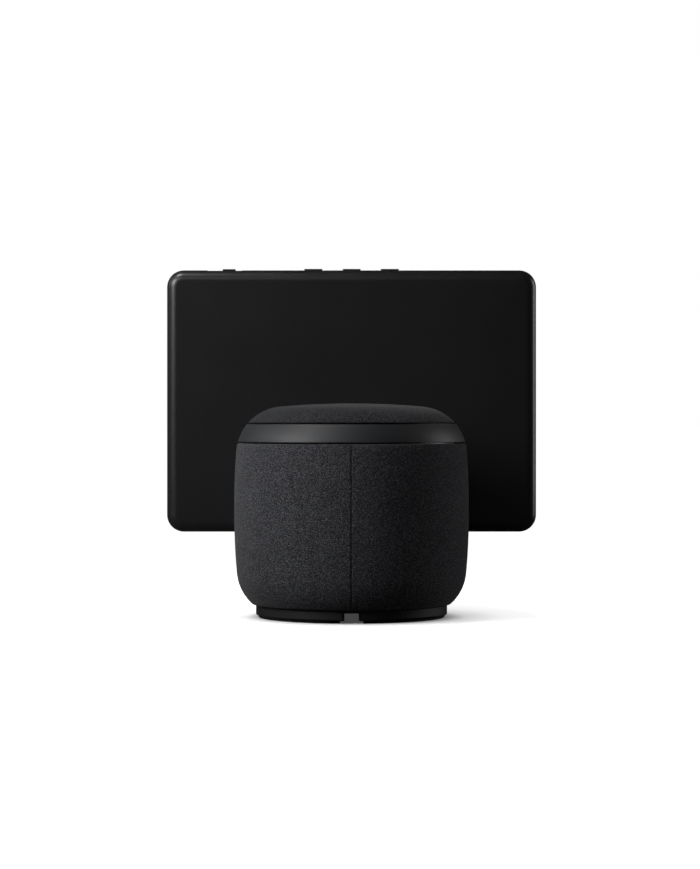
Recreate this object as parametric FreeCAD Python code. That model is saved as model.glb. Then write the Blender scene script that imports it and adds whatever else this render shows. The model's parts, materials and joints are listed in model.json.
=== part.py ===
import FreeCAD
import Part
import math
import os

# Smart display: a fabric-covered speaker body on a round foot, and a wide screen on its front.
# A motor in the body turns the cap, the smooth band and the screen about the body's upright axis.
# The screen also tilts by hand on a short neck that comes out of the band.
# Frame: millimetres, +Z up, origin on the turning axis at the surface the foot stands on, screen facing -Y.

V = FreeCAD.Vector
UP = V(0, 0, 1)

# ---------------------------------------------------------------- driving dimensions
# speaker body, outer surface of revolution made of tangent arcs
BODY_R = 75.7            # largest radius
BODY_H = 137.8           # top of the crown
CROWN_R = 510.0          # radius of the nearly flat top
SHOULDER_R = 31.0        # round between crown and side
BARREL_R = 375.0         # slow curve of the side, above and below its straight belt
BELT_DROP = 61.8         # crown top down to the straight belt
BELT_H = 12.5            # height of the straight belt
HEEL_R = 30.0            # round under the side
HEEL_Z = 1.0             # lowest point that the heel's circle would reach
SEAM_GAP = 0.8           # open joint above and below the turning band
CAP_DROP = 13.0          # crown top down to the middle of the upper joint
BAND_H = 12.3            # middle of the upper joint to the middle of the lower one

# skins and walls
FABRIC_T = 1.0
SKIN_GAP = 0.15          # adhesive film between fabric and shell
SHELL_T = 2.0
BAND_T = 2.2
FIT = 0.1                # clearance of screws and located parts
PLAY = 0.3               # least gap between parts that move past each other

# foot and underside
FOOT_R = 61.7
FOOT_TOP = 8.0           # the body fabric starts just above this
FOOT_WALL = 3.0
PAD_T = 1.5              # rubber ring below the pan
PAD_W = 12.0
PAD_EDGE = 1.6           # pan edge outside the rubber ring
NOTCH_W = 11.5           # cable slot through the foot, at the back
GUIDE_W = 9.0            # the slot's narrower inner part, which guides the cable
GUIDE_TOP = 6.2
NECK_RING_R = 57.0       # ring on the pan that the speaker box stands on
NOTCH_FLARE = 14.6       # the slot's width in the rubber ring
POCKET_W = 24.0          # plug pocket on the underside
POCKET_TOP = 12.5
POCKET_BACK = -12.0      # the pocket's inner wall, where the power socket sits
POCKET_MOUTH = 50.0      # where the pocket narrows to the cable slot
SOCKET_Z = 7.0           # axis of the power socket
SOCKET_R = 2.85          # its barrel
SOCKET_PIN_R = 1.05
SOCKET_DEPTH = 9.0

# speaker enclosure
BOX_Z = 15.0
BOX_R = 64.0
BOX_WALL = 3.0
DECK_T = 3.0
MECH_H = 18.9            # deck's upper face to the turntable's upper face
WOOFER_FACE = 47.0       # distance of the woofer's baffle from the axis
WOOFER_R = 36.0
WOOFER_DEPTH = 38.0
TWEETER_FACE = 57.5
TWEETER_R = 13.0
TWEETER_ANGLE = 65.0     # each side of the front

# slewing bearing and drive
BALL_R = 2.0
BALL_COUNT = 18
BALL_RING_R = 26.0       # centres of the balls
RACE_H = 8.0
RACE_GAP = 0.08          # groove radius over ball radius
SPINDLE_R = 12.5         # open middle of the hub, for the cables
GEAR_MODULE = 1.5
RING_TEETH = 52
PINION_TEETH = 13
PRESSURE_ANGLE = 25.0
BACKLASH = 0.3
GEAR_W = 6.0
MOTOR_R = 13.5
MOTOR_H = 7.6
TURN_T = 3.0             # turntable plate

# neck and tilt hinge
NECK_W = 58.0
NECK_H = 7.8
NECK_GAP = 0.5
BARREL_HINGE_R = 5.5
HINGE_OUT = 1.4          # hinge axis outside the body's largest radius
HINGE_BACK = 6.3         # hinge axis to the screen's back
SHAFT_R = 2.5
ROTOR_SHAFT_R = 2.0
SHAFT_FIT = 0.05
WASHER_T = 0.8
LUG_T = 4.6

# screen
SCREEN_W = 251.0
SCREEN_H = 177.8
SCREEN_T = 13.0
SCREEN_CORNER = 11.5
SCREEN_RISE = 21.3       # screen's middle above the hinge axis
BACK_DEPTH = 10.5        # depth of the back cover
BACK_ROUND = 7.5
COVER_WALL = 2.0
LIP_W = 1.2              # frame edge outside the glass
FRAME_W = 6.0
GLASS_T = 1.1
PANEL_W, PANEL_H = 228.0, 148.0
PANEL_T, LIGHT_T = 1.6, 2.2
CHASSIS_T = 1.4
MIC_DROP = 9.4           # rear microphone hole below the top edge
MIC_R = 0.7
BUTTON_W, BUTTON_D = 12.4, 3.6
BUTTON_PROUD = 0.9
BUTTON_PITCH = 26.0
BUTTON_TRAVEL = 0.8
SLIDER_W, SLIDER_D = 8.7, 2.2
SLIDER_X = 83.3
SLIDER_TRAVEL = 9.0
CAMERA_X = 98.0
CAMERA_DROP = 10.5       # camera axis below the top edge

# ---------------------------------------------------------------- heights and places worked out
BELT_TOP_Z = BODY_H - BELT_DROP
BELT_LOW_Z = BELT_TOP_Z - BELT_H
CAP_Z = BODY_H - CAP_DROP + SEAM_GAP / 2
BAND_TOP_Z = CAP_Z - SEAM_GAP
BAND_LOW_Z = BODY_H - CAP_DROP - BAND_H + SEAM_GAP / 2
SLEEVE_TOP_Z = BAND_LOW_Z - SEAM_GAP
TURN_TOP_Z = BAND_LOW_Z + 0.1
TURN_LOW_Z = TURN_TOP_Z - TURN_T
DECK_TOP_Z = TURN_TOP_Z - MECH_H
BOX_TOP_Z = DECK_TOP_Z - DECK_T
SLEEVE_LOW_Z = FOOT_TOP + 0.3
TURN_R = BODY_R - 9.7
HINGE_Y = -(BODY_R + HINGE_OUT)
HINGE_Z = (CAP_Z + SLEEVE_TOP_Z) / 2
SCREEN_BACK_Y = HINGE_Y - HINGE_BACK
SCREEN_FRONT_Y = SCREEN_BACK_Y - SCREEN_T
SPLIT_Y = SCREEN_BACK_Y - BACK_DEPTH
SCREEN_Z = HINGE_Z + SCREEN_RISE
SCREEN_TOP_Z = SCREEN_Z + SCREEN_H / 2
RACE_Z = TURN_LOW_Z - 3.0 - RACE_H            # underside of both races
BALL_Z = RACE_Z + RACE_H / 2
INNER_RACE_R = BALL_RING_R - BALL_R / 2
OUTER_RACE_R = BALL_RING_R + BALL_R / 2
HUB_R = INNER_RACE_R - 3.0
COLLAR_IN_R = OUTER_RACE_R + 3.5
COLLAR_OUT_R = COLLAR_IN_R + 3.7
RING_PITCH_R = GEAR_MODULE * RING_TEETH / 2
PINION_PITCH_R = GEAR_MODULE * PINION_TEETH / 2
MOTOR_X = RING_PITCH_R + PINION_PITCH_R
GEAR_TOP_Z = TURN_LOW_Z - 0.6
WOOFER_Z = (BOX_Z + BOX_TOP_Z) / 2
BOARD_Z = DECK_TOP_Z + 3.0


# ---------------------------------------------------------------- small makers
def cyl(r, z0, z1, x=0.0, y=0.0):
    return Part.makeCylinder(r, z1 - z0, V(x, y, z0))


def tube(r_out, r_in, z0, z1, x=0.0, y=0.0):
    return cyl(r_out, z0, z1, x, y).cut(cyl(r_in, z0 - 1, z1 + 1, x, y))


def cyl_x(r, x0, x1, y, z):
    return Part.makeCylinder(r, x1 - x0, V(x0, y, z), V(1, 0, 0))


def cyl_y(r, y0, y1, x, z):
    return Part.makeCylinder(r, y1 - y0, V(x, y0, z), V(0, 1, 0))


def block(x0, x1, y0, y1, z0, z1):
    return Part.makeBox(x1 - x0, y1 - y0, z1 - z0, V(x0, y0, z0))


def slab(w, h, r, y0, y1, x=0.0, z=0.0):
    """Rounded rectangle standing in the XZ plane, w by h about (x, z), from y0 to y1."""
    plate = block(x - w / 2, x + w / 2, y0, y1, z - h / 2, z + h / 2)
    corners = [e for e in plate.Edges if abs(e.tangentAt(e.FirstParameter).y) > 0.99]
    return plate.makeFillet(r, corners)


def polar(r, degrees):
    a = math.radians(degrees)
    return r * math.cos(a), r * math.sin(a)


def spun(shape, degrees):
    copy = shape.copy()
    copy.rotate(V(0, 0, 0), UP, degrees)
    return copy


def joined(shapes):
    return shapes[0].fuse(shapes[1:]).removeSplitter() if len(shapes) > 1 else shapes[0]


def without(shape, cutters):
    return shape.cut(Part.makeCompound(cutters))


def group(shapes):
    return Part.makeCompound(shapes)


def turned(points):
    """Solid of revolution about Z from a closed outline of (radius, height) points."""
    wire = Part.makePolygon([V(r, 0, z) for r, z in points + points[:1]])
    return Part.Face(wire).revolve(V(0, 0, 0), UP, 360)


def screw(x, y, z, direction, length, shank=1.4, head=2.7, head_h=1.8):
    """Pan-head screw whose head sits on the point, with its shank along direction."""
    d = V(*direction)
    p = V(x, y, z)
    body = Part.makeCylinder(shank, length, p, d)
    top = Part.makeCylinder(head, head_h, p - d * head_h, d)
    cross = Part.makeCylinder(head * 0.4, head_h * 0.5, p - d * head_h, d)
    return body.fuse(top).cut(cross)


def write(name, shape):
    if not shape.isValid():
        shape = shape.removeSplitter()
    shape.exportStep("parts/%s.step" % name)
    print("%-22s solids %3d  volume %10.1f  valid %s"
          % (name, len(shape.Solids), shape.Volume, shape.isValid()))


# ---------------------------------------------------------------- the body's outer surface
def circle_meet(a, ra, b, rb):
    """Of the two points at ra from a and rb from b, the one further from the axis."""
    dx, dz = b[0] - a[0], b[1] - a[1]
    d = math.hypot(dx, dz)
    along = (ra * ra - rb * rb + d * d) / (2 * d)
    off = math.sqrt(ra * ra - along * along)
    mid = (a[0] + dx * along / d, a[1] + dz * along / d)
    ends = [(mid[0] + s * dz * off / d, mid[1] - s * dx * off / d) for s in (1, -1)]
    return max(ends)


def body_arcs():
    """Centre, radius and end angles of each arc from the crown down to the heel."""
    crown = (0.0, BODY_H - CROWN_R)
    upper = (BODY_R - BARREL_R, BELT_TOP_Z)
    lower = (BODY_R - BARREL_R, BELT_LOW_Z)
    shoulder = circle_meet(crown, CROWN_R - SHOULDER_R, upper, BARREL_R - SHOULDER_R)
    heel_z = HEEL_Z + HEEL_R
    heel_r = lower[0] + math.sqrt((BARREL_R - HEEL_R) ** 2 - (heel_z - lower[1]) ** 2)
    heel = (heel_r, heel_z)
    a1 = math.atan2(shoulder[1] - crown[1], shoulder[0] - crown[0])
    a2 = math.atan2(shoulder[1] - upper[1], shoulder[0] - upper[0])
    a3 = math.atan2(heel[1] - lower[1], heel[0] - lower[0])
    return [
        (crown, CROWN_R, math.pi / 2, a1),
        (shoulder, SHOULDER_R, a1, a2),
        (upper, BARREL_R, a2, 0.0),
        (lower, BARREL_R, 0.0, a3),
        (heel, HEEL_R, a3, -math.pi / 2),
    ]


def body_solid(inset):
    """The body's outer form, moved inwards by inset all round."""
    edges = []
    ends = []
    for centre, radius, start, stop in body_arcs():
        r = radius - inset
        p = [V(centre[0] + r * math.cos(a), 0, centre[1] + r * math.sin(a))
             for a in (start, (start + stop) / 2, stop)]
        edges.append(Part.Arc(*p).toShape())
        ends.append((p[0], p[2]))
    belt = Part.LineSegment(ends[2][1], ends[3][0]).toShape()
    edges.insert(3, belt)
    foot = V(0, 0, ends[4][1].z)
    edges.append(Part.LineSegment(ends[4][1], foot).toShape())
    edges.append(Part.LineSegment(foot, ends[0][0]).toShape())
    face = Part.Face(Part.Wire(edges))
    return face.revolve(V(0, 0, 0), UP, 360)


def body_radius(z, inset=0.0):
    """Radius of the outer form at height z, moved inwards by inset."""
    if BELT_LOW_Z <= z <= BELT_TOP_Z:
        return BODY_R - inset
    for centre, radius, start, stop in body_arcs():
        r = radius - inset
        low = centre[1] + r * math.sin(stop)
        high = centre[1] + r * math.sin(start)
        if low - 1e-9 <= z <= high + 1e-9:
            return centre[0] + math.sqrt(max(r * r - (z - centre[1]) ** 2, 0.0))
    return 0.0


def body_shell(outer, inner, z0, z1):
    """Wall between two insets of the outer form, from z0 to z1."""
    wide = cyl(BODY_R + 5, z0, z1)
    return body_solid(outer).common(wide).cut(body_solid(inner))


# ---------------------------------------------------------------- foot and power inlet
PAN_BOSSES = [polar(46.0, a) for a in (45, 135, 225, 315)]


def notch_cutter(width, z1):
    return block(-width / 2, width / 2, POCKET_MOUTH - 8, FOOT_R + 5, -1, z1)


def foot_pad():
    outer = FOOT_R - PAD_EDGE
    c = 0.5
    ring = tube(outer, outer - PAD_W, c, PAD_T).fuse(tube(outer - c, outer - PAD_W + c, 0, c))
    return ring.cut(notch_cutter(NOTCH_FLARE, PAD_T + 1)).removeSplitter()


def base_pan():
    wall = tube(FOOT_R, FOOT_R - FOOT_WALL, PAD_T, FOOT_TOP)
    edge = [e for e in wall.Edges if abs(e.BoundBox.ZMax - PAD_T) < 1e-6 and e.BoundBox.XMax > FOOT_R - 1]
    wall = wall.makeFillet(1.2, edge)
    rim = tube(FOOT_R - FOOT_WALL + 0.5, NECK_RING_R - 1, FOOT_TOP - 2, FOOT_TOP)
    neck = tube(NECK_RING_R, NECK_RING_R - 2, PAD_T, BOX_Z)
    seat = body_shell(FABRIC_T + SKIN_GAP + SHELL_T, 7.2, SLEEVE_LOW_Z + 0.2, SLEEVE_LOW_Z + 4)
    floor = cyl(FOOT_R - FOOT_WALL, PAD_T, PAD_T + 2)
    half = POCKET_W / 2
    hood = block(-half - 1.5, half + 1.5, POCKET_BACK - 1.5, NECK_RING_R - 1, PAD_T, POCKET_TOP + 1.5)
    bosses = [cyl(3.6, PAD_T, BOX_Z, x, y) for x, y in PAN_BOSSES]
    pan = joined([wall, rim, neck, seat, floor, hood] + bosses)
    cuts = [block(-half, half, POCKET_BACK, POCKET_MOUTH, -1, POCKET_TOP), notch_cutter(GUIDE_W, GUIDE_TOP)]
    cuts.append(block(-NOTCH_W / 2, NOTCH_W / 2, FOOT_R - FOOT_WALL - 0.5, FOOT_R + 5, -1, FOOT_TOP + 1))
    cuts += [cyl(1.4 + FIT, -1, BOX_Z + 1, x, y) for x, y in PAN_BOSSES]
    cuts += [cyl(2.7 + FIT, -1, PAD_T + 2.0, x, y) for x, y in PAN_BOSSES]
    cuts.append(cyl_y(4.0 + FIT, POCKET_BACK - 3, POCKET_BACK + 1, 0, SOCKET_Z))
    cuts.append(block(-6.1, 6.1, POCKET_BACK - 17, POCKET_BACK - 1.5, PAD_T + 0.4, POCKET_TOP + 2))
    return without(pan, cuts)


def pan_screws():
    return group([screw(x, y, PAD_T + 2.0, (0, 0, 1), BOX_Z + 1.5 - PAD_T, head_h=1.4) for x, y in PAN_BOSSES])


def power_socket():
    face = POCKET_BACK - 1.5
    body = block(-5.5, 5.5, face - 14, face, SOCKET_Z - 4.8, SOCKET_Z + 4.8)
    nose = cyl_y(4.0, face - 1, POCKET_BACK, 0, SOCKET_Z)
    barrel = cyl_y(SOCKET_R, POCKET_BACK - SOCKET_DEPTH, POCKET_BACK + 1, 0, SOCKET_Z)
    return joined([body, nose]).cut(barrel)


def socket_pin():
    """Centre contact of the power socket, seated in the bottom of its barrel."""
    root = POCKET_BACK - SOCKET_DEPTH
    pin = cyl_y(SOCKET_PIN_R, root, POCKET_BACK - 1.5, 0, SOCKET_Z)
    tip = [e for e in pin.Edges if abs(e.BoundBox.YMin - (POCKET_BACK - 1.5)) < 1e-6]
    return pin.makeFillet(0.3, tip)


def power_board():
    z0 = SOCKET_Z + 4.8
    y0 = POCKET_BACK - 1.5 - 26
    board = block(-14, 14, y0, POCKET_BACK - 1.7, z0, z0 + 1.6)
    coil = block(-12, -4, y0 + 3, y0 + 11, z0 - 5, z0)
    caps = cyl(2.5, z0 - 5.5, z0, 8, y0 + 5)
    return group([board, coil, caps])


# ---------------------------------------------------------------- speaker
def facing(shape, degrees, distance, z):
    """Turns a driver built along +Z, front face at z = 0, to look out of the body at an angle from the front."""
    out = shape.copy()
    out.rotate(V(0, 0, 0), V(1, 0, 0), 90)
    out.translate(V(0, -distance, z))
    return spun(out, degrees)


def half_space(distance, degrees):
    wide = block(-200, 200, -400, -distance, -10, 300)
    return spun(wide, degrees)


def baffled(radius, z0, z1, inset):
    core = cyl(radius, z0, z1)
    cuts = [half_space(WOOFER_FACE - inset, 0)]
    cuts += [half_space(TWEETER_FACE - inset, s * TWEETER_ANGLE) for s in (1, -1)]
    return without(core, cuts)


LID_SCREWS = [polar(BOX_R - 6.5, a) for a in (28, 60, 90, 130, 172)]


def speaker_enclosure():
    body = baffled(BOX_R, BOX_Z, BOX_TOP_Z, 0).cut(baffled(BOX_R - BOX_WALL, BOX_Z + BOX_WALL, BOX_TOP_Z + 1, BOX_WALL))
    posts = [cyl(4.0, BOX_Z + 1, BOX_TOP_Z, x, y) for x, y in LID_SCREWS]
    pan_posts = [cyl(4.0, BOX_Z + 0.5, BOX_Z + 12, x, y) for x, y in PAN_BOSSES]
    body = joined([body] + posts + pan_posts)
    cuts = [facing(cyl(WOOFER_R - 5, -10, 5), 0, WOOFER_FACE, WOOFER_Z)]
    cuts += [facing(cyl(TWEETER_R - 3, -10, 5), s * TWEETER_ANGLE, TWEETER_FACE, WOOFER_Z) for s in (1, -1)]
    cuts += [cyl(1.4 + FIT, BOX_TOP_Z - 10, BOX_TOP_Z + 1, x, y) for x, y in LID_SCREWS]
    cuts += [cyl(1.4 + FIT, BOX_Z - 1, BOX_Z + 8, x, y) for x, y in PAN_BOSSES]
    return without(body, cuts)


CONE_TOP_R = WOOFER_R - 10.0
COIL_R = 9.6
COIL_T = 0.5


def woofer_parts():
    """Frame, magnet with yoke, cone and surround of the bass driver, built along +Z."""
    gap_out = COIL_R + COIL_T + 0.6
    plate_z = -WOOFER_DEPTH + 16.0
    ring = tube(WOOFER_R, CONE_TOP_R + 4.42, 0, 2.4)
    skirt = turned([(CONE_TOP_R + 4.4, 0.2), (CONE_TOP_R + 6.4, 0.2), (21.5, plate_z + 0.2), (19.5, plate_z + 0.2)])
    skirt = skirt.common(cyl(WOOFER_R - 5 - FIT, plate_z, 1))
    hub = tube(21.5, gap_out, plate_z - 3, plate_z + 0.6)
    windows = [spun(block(15, 40, -6, 6, plate_z + 3, -5), a) for a in range(0, 360, 60)]
    frame = without(joined([ring, skirt, hub]), windows)
    magnet = tube(21.0, gap_out + 1.0, plate_z - 11, plate_z - 3)
    yoke = joined([cyl(21.0, -WOOFER_DEPTH, plate_z - 11), cyl(COIL_R - COIL_T - 0.5, -WOOFER_DEPTH, plate_z)])
    rim = CONE_TOP_R - 0.1
    cone = turned([(COIL_R, -8.0), (COIL_R + 0.9, -8.0), (rim, 0.4), (rim, 1.2)])
    former = tube(COIL_R + COIL_T, COIL_R, plate_z - 1.0, -7.2)
    cap_r = 22.0
    rise = 3.0
    dome = Part.makeSphere(cap_r).common(cyl(cap_r, cap_r - rise, cap_r + 1))
    dome = dome.cut(Part.makeSphere(cap_r - 0.5))
    dome.translate(V(0, 0, -cap_r + rise - 7.4))
    cone = joined([cone, former, dome])
    mid = CONE_TOP_R + 2.3
    roll = Part.makeTorus(mid, 2.1, V(0, 0, 1.3), UP).cut(Part.makeTorus(mid, 1.6, V(0, 0, 1.3), UP))
    roll = roll.common(tube(mid + 3, mid - 3, 1.3, 5))
    return {"woofer_frame": frame, "woofer_motor": group([magnet, yoke]),
            "woofer_cone": cone, "woofer_surround": roll}


def tweeter():
    plate = tube(TWEETER_R, 6.6, 0, 1.8)
    motor = cyl(TWEETER_R - 3 - FIT, -9, 0.2)
    frame = joined([plate, motor])
    dome = Part.makeSphere(7.0).cut(Part.makeSphere(6.7)).common(cyl(7, 3.2, 8))
    dome.translate(V(0, 0, -2.9))
    return frame, dome


def tweeters():
    frame, dome = tweeter()
    placed = []
    for side in (1, -1):
        placed += [facing(s, side * TWEETER_ANGLE, TWEETER_FACE, WOOFER_Z) for s in (frame, dome)]
    return group(placed)


# ---------------------------------------------------------------- shells of the body
SLOT_COUNT = 60
SLOT_W = 3.0


def grille_shell():
    outer = FABRIC_T + SKIN_GAP
    top = SLEEVE_TOP_Z - 3.0
    shell = body_shell(outer, outer + SHELL_T, SLEEVE_LOW_Z, top)
    rows = [(BOX_Z + 10, WOOFER_Z - 3), (WOOFER_Z + 3, BOX_TOP_Z - 6)]
    slots = []
    for z0, z1 in rows:
        for k in range(SLOT_COUNT):
            slots.append(spun(block(BODY_R - 12, BODY_R + 5, -SLOT_W / 2, SLOT_W / 2, z0, z1), k * 360 / SLOT_COUNT))
    return without(shell, slots)


def fabric_sleeve():
    return body_shell(0, FABRIC_T, SLEEVE_LOW_Z, SLEEVE_TOP_Z)


def trim_ring():
    """Ring that closes the top of the sleeve and leaves the turntable its opening."""
    outer = FABRIC_T + SKIN_GAP
    z0 = SLEEVE_TOP_Z - 3.0
    ring = body_solid(outer).common(cyl(BODY_R, z0, SLEEVE_TOP_Z - 0.3))
    return ring.cut(cyl(TURN_R + 1.0, z0 - 1, SLEEVE_TOP_Z + 1))


# ---------------------------------------------------------------- deck, bearing and drive
HUB_SCREWS = [polar(HUB_R - 3.6, a) for a in (30, 150, 270)]
DECK_RIM_R = BODY_R - FABRIC_T - SKIN_GAP - SHELL_T - 0.9


def chassis_deck():
    plate = cyl(DECK_RIM_R, BOX_TOP_Z, DECK_TOP_Z)
    cuts = [cyl(1.4 + FIT, BOX_TOP_Z - 1, DECK_TOP_Z + 1, x, y) for x, y in LID_SCREWS]
    cuts.append(cyl(SPINDLE_R - 4, BOX_TOP_Z - 1, DECK_TOP_Z + 1))
    cuts += [cyl(1.4 + FIT, BOX_TOP_Z - 1, DECK_TOP_Z + 1, x, y) for x, y in HUB_SCREWS]
    return without(plate, cuts)


def deck_screws():
    lid = [screw(x, y, DECK_TOP_Z, (0, 0, -1), 10.0) for x, y in LID_SCREWS]
    return group(lid)


def bearing_hub():
    flange = cyl(HUB_R + 2.0, DECK_TOP_Z, RACE_Z)
    spigot = cyl(HUB_R - 0.02, RACE_Z - 1, RACE_Z + RACE_H)
    hub = joined([flange, spigot]).cut(cyl(SPINDLE_R, DECK_TOP_Z - 1, RACE_Z + RACE_H + 1))
    return without(hub, [cyl(1.4 + FIT, DECK_TOP_Z - 1, RACE_Z + RACE_H + 1, x, y) for x, y in HUB_SCREWS])


def groove():
    return Part.makeTorus(BALL_RING_R, BALL_R + RACE_GAP, V(0, 0, BALL_Z), UP)


def inner_race():
    return tube(INNER_RACE_R, HUB_R, RACE_Z, RACE_Z + RACE_H).cut(groove())


def outer_race():
    return tube(COLLAR_IN_R - 0.02, OUTER_RACE_R, RACE_Z, RACE_Z + RACE_H).cut(groove())


def ball_places():
    return [polar(BALL_RING_R, k * 360 / BALL_COUNT) for k in range(BALL_COUNT)]


def bearing_balls():
    return group([Part.makeSphere(BALL_R, V(x, y, BALL_Z)) for x, y in ball_places()])


def ball_cage():
    half = 0.65
    ring = tube(BALL_RING_R + half, BALL_RING_R - half, BALL_Z - BALL_R - 0.8, BALL_Z + BALL_R + 0.8)
    pockets = []
    for k in range(BALL_COUNT):
        hole = cyl_x(BALL_R + RACE_GAP, BALL_RING_R - 3, BALL_RING_R + 3, 0, BALL_Z)
        pockets.append(spun(hole, k * 360 / BALL_COUNT))
    return without(ring, pockets)


def bearing_retainer():
    z0 = RACE_Z + RACE_H
    ring = tube(INNER_RACE_R - 0.6, SPINDLE_R, z0, z0 + 1.6)
    return without(ring, [cyl(1.4 + FIT, z0 - 1, z0 + 3, x, y) for x, y in HUB_SCREWS])


def hub_screws():
    top = RACE_Z + RACE_H + 1.6
    return group([screw(x, y, top, (0, 0, -1), top - BOX_TOP_Z - 0.3, head_h=1.0) for x, y in HUB_SCREWS])


def involute(base, radius):
    return math.tan(math.acos(base / radius)) - math.acos(base / radius)


def gear_face(teeth, phase_deg):
    """Face of a spur gear with one tooth centred on phase_deg."""
    pitch = GEAR_MODULE * teeth / 2
    base = pitch * math.cos(math.radians(PRESSURE_ANGLE))
    tip = pitch + 0.8 * GEAR_MODULE
    root = pitch - 1.1 * GEAR_MODULE
    half = math.pi / (2 * teeth) - BACKLASH / (2 * pitch)
    low = max(base, root)
    radii = [low + (tip - low) * k / 4 for k in range(5)]
    spread = [half + involute(base, pitch) - involute(base, r) for r in radii]
    points = []
    for k in range(teeth):
        mid = math.radians(phase_deg) + 2 * math.pi * k / teeth
        flank = [(root, -spread[0])] if root < low - 1e-6 else []
        flank += [(r, -s) for r, s in zip(radii, spread)]
        for r, a in flank + [(r, -a) for r, a in reversed(flank)]:
            points.append(V(r * math.cos(mid + a), r * math.sin(mid + a), 0))
    return Part.Face(Part.makePolygon(points + points[:1]))


def ring_gear():
    face = gear_face(RING_TEETH, 0)
    face.translate(V(0, 0, GEAR_TOP_Z - GEAR_W))
    blank = face.extrude(V(0, 0, TURN_LOW_Z - GEAR_TOP_Z + GEAR_W))
    return blank.cut(cyl(COLLAR_OUT_R + 0.02, GEAR_TOP_Z - GEAR_W - 1, GEAR_TOP_Z + 1))


def drive_pinion():
    face = gear_face(PINION_TEETH, 180 + 180 / PINION_TEETH)
    face.translate(V(MOTOR_X, 0, GEAR_TOP_Z - GEAR_W - 0.3))
    blank = face.extrude(V(0, 0, GEAR_W + 0.4))
    return blank.cut(cyl(ROTOR_SHAFT_R + 0.02, GEAR_TOP_Z - GEAR_W - 1, GEAR_TOP_Z + 1, MOTOR_X, 0))


def motor_stator():
    z0 = DECK_TOP_Z
    base = cyl(MOTOR_R, z0, z0 + 1.4, MOTOR_X, 0)
    post = tube(4.0, ROTOR_SHAFT_R + SHAFT_FIT, z0 + 1, z0 + MOTOR_H - 2.6, MOTOR_X, 0)
    core = cyl(6.0, z0 + 2.6, z0 + MOTOR_H - 2.8, MOTOR_X, 0)
    teeth = []
    for k in range(9):
        arm = block(4, 9, -1.1, 1.1, z0 + 2.6, z0 + MOTOR_H - 2.8).fuse(
            block(9, 11, -3.0, 3.0, z0 + 2.6, z0 + MOTOR_H - 2.8))
        arm = spun(arm, 40 * k)
        arm.translate(V(MOTOR_X, 0, 0))
        teeth.append(arm)
    whole = joined([base, post, core] + teeth)
    return whole.cut(cyl(ROTOR_SHAFT_R + SHAFT_FIT, z0 - 1, z0 + MOTOR_H, MOTOR_X, 0))


def motor_rotor():
    z0 = DECK_TOP_Z + 1.9
    z1 = DECK_TOP_Z + MOTOR_H
    bell = tube(MOTOR_R, MOTOR_R - 1.6, z0, z1, MOTOR_X, 0)
    top = cyl(MOTOR_R, z1 - 1.4, z1, MOTOR_X, 0)
    shaft = cyl(ROTOR_SHAFT_R, DECK_TOP_Z + 0.3, GEAR_TOP_Z - 0.4, MOTOR_X, 0)
    return joined([bell, top, shaft])


def main_board():
    board = tube(DECK_RIM_R - 3, COLLAR_OUT_R + 6, BOARD_Z, BOARD_Z + 1.6)
    gap = [spun(block(0, 100, -24, 24, BOARD_Z - 1, BOARD_Z + 3), 0)]
    board = without(board, gap + [cyl(4.0, BOARD_Z - 1, BOARD_Z + 3, x, y) for x, y in LID_SCREWS])
    chips = [spun(block(50, 60, -5, 5, BOARD_Z + 1.6, BOARD_Z + 3.2), a) for a in (75, 110, 152, 235, 290)]
    posts = [cyl(2.2, DECK_TOP_Z, BOARD_Z, *polar(DECK_RIM_R - 6, a)) for a in (45, 125, 180, 240, 315)]
    return group([board] + chips + posts)


# ---------------------------------------------------------------- turning head
ARM_SCREWS = [(x, y) for x in (-20, 20) for y in (-38, 20)]
CLAMP_SCREWS = [polar((COLLAR_IN_R + COLLAR_OUT_R) / 2, a) for a in (60, 180, 300)]
TURN_SCREWS = [polar(TURN_R - 4.0, a) for a in (30, 90, 150, 215, 325)]


def turntable():
    plate = cyl(TURN_R, TURN_LOW_Z, TURN_TOP_Z)
    collar = cyl(COLLAR_OUT_R, RACE_Z, TURN_LOW_Z + 1)
    body = joined([plate, collar])
    cuts = [cyl(COLLAR_IN_R, RACE_Z - 1, RACE_Z + RACE_H), cyl(OUTER_RACE_R + 1, RACE_Z, TURN_LOW_Z)]
    cuts.append(cyl(SPINDLE_R - 2, TURN_LOW_Z - 1, TURN_TOP_Z + 1))
    cuts += [cyl(1.4 + FIT, TURN_LOW_Z - 1, TURN_TOP_Z + 1, x, y) for x, y in TURN_SCREWS + ARM_SCREWS]
    cuts += [cyl(0.9 + FIT, RACE_Z - 1, RACE_Z + 6, x, y) for x, y in CLAMP_SCREWS]
    return without(body, cuts)


def race_clamp():
    ring = tube(COLLAR_OUT_R, OUTER_RACE_R + 1.2, RACE_Z - 1.4, RACE_Z)
    return without(ring, [cyl(0.9 + FIT, RACE_Z - 3, RACE_Z + 1, x, y) for x, y in CLAMP_SCREWS])


def clamp_screws():
    return group([screw(x, y, RACE_Z - 1.4, (0, 0, 1), 6.5, 0.9, 1.6, 0.8) for x, y in CLAMP_SCREWS])


def window(extra):
    """Opening that the neck passes through, in the band and in the cap's skirt."""
    half = NECK_W / 2 + extra
    return block(-half, half, -BODY_R - 5, -TURN_R + 16, HINGE_Z - NECK_H / 2 - extra, HINGE_Z + NECK_H / 2 + extra)


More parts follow.
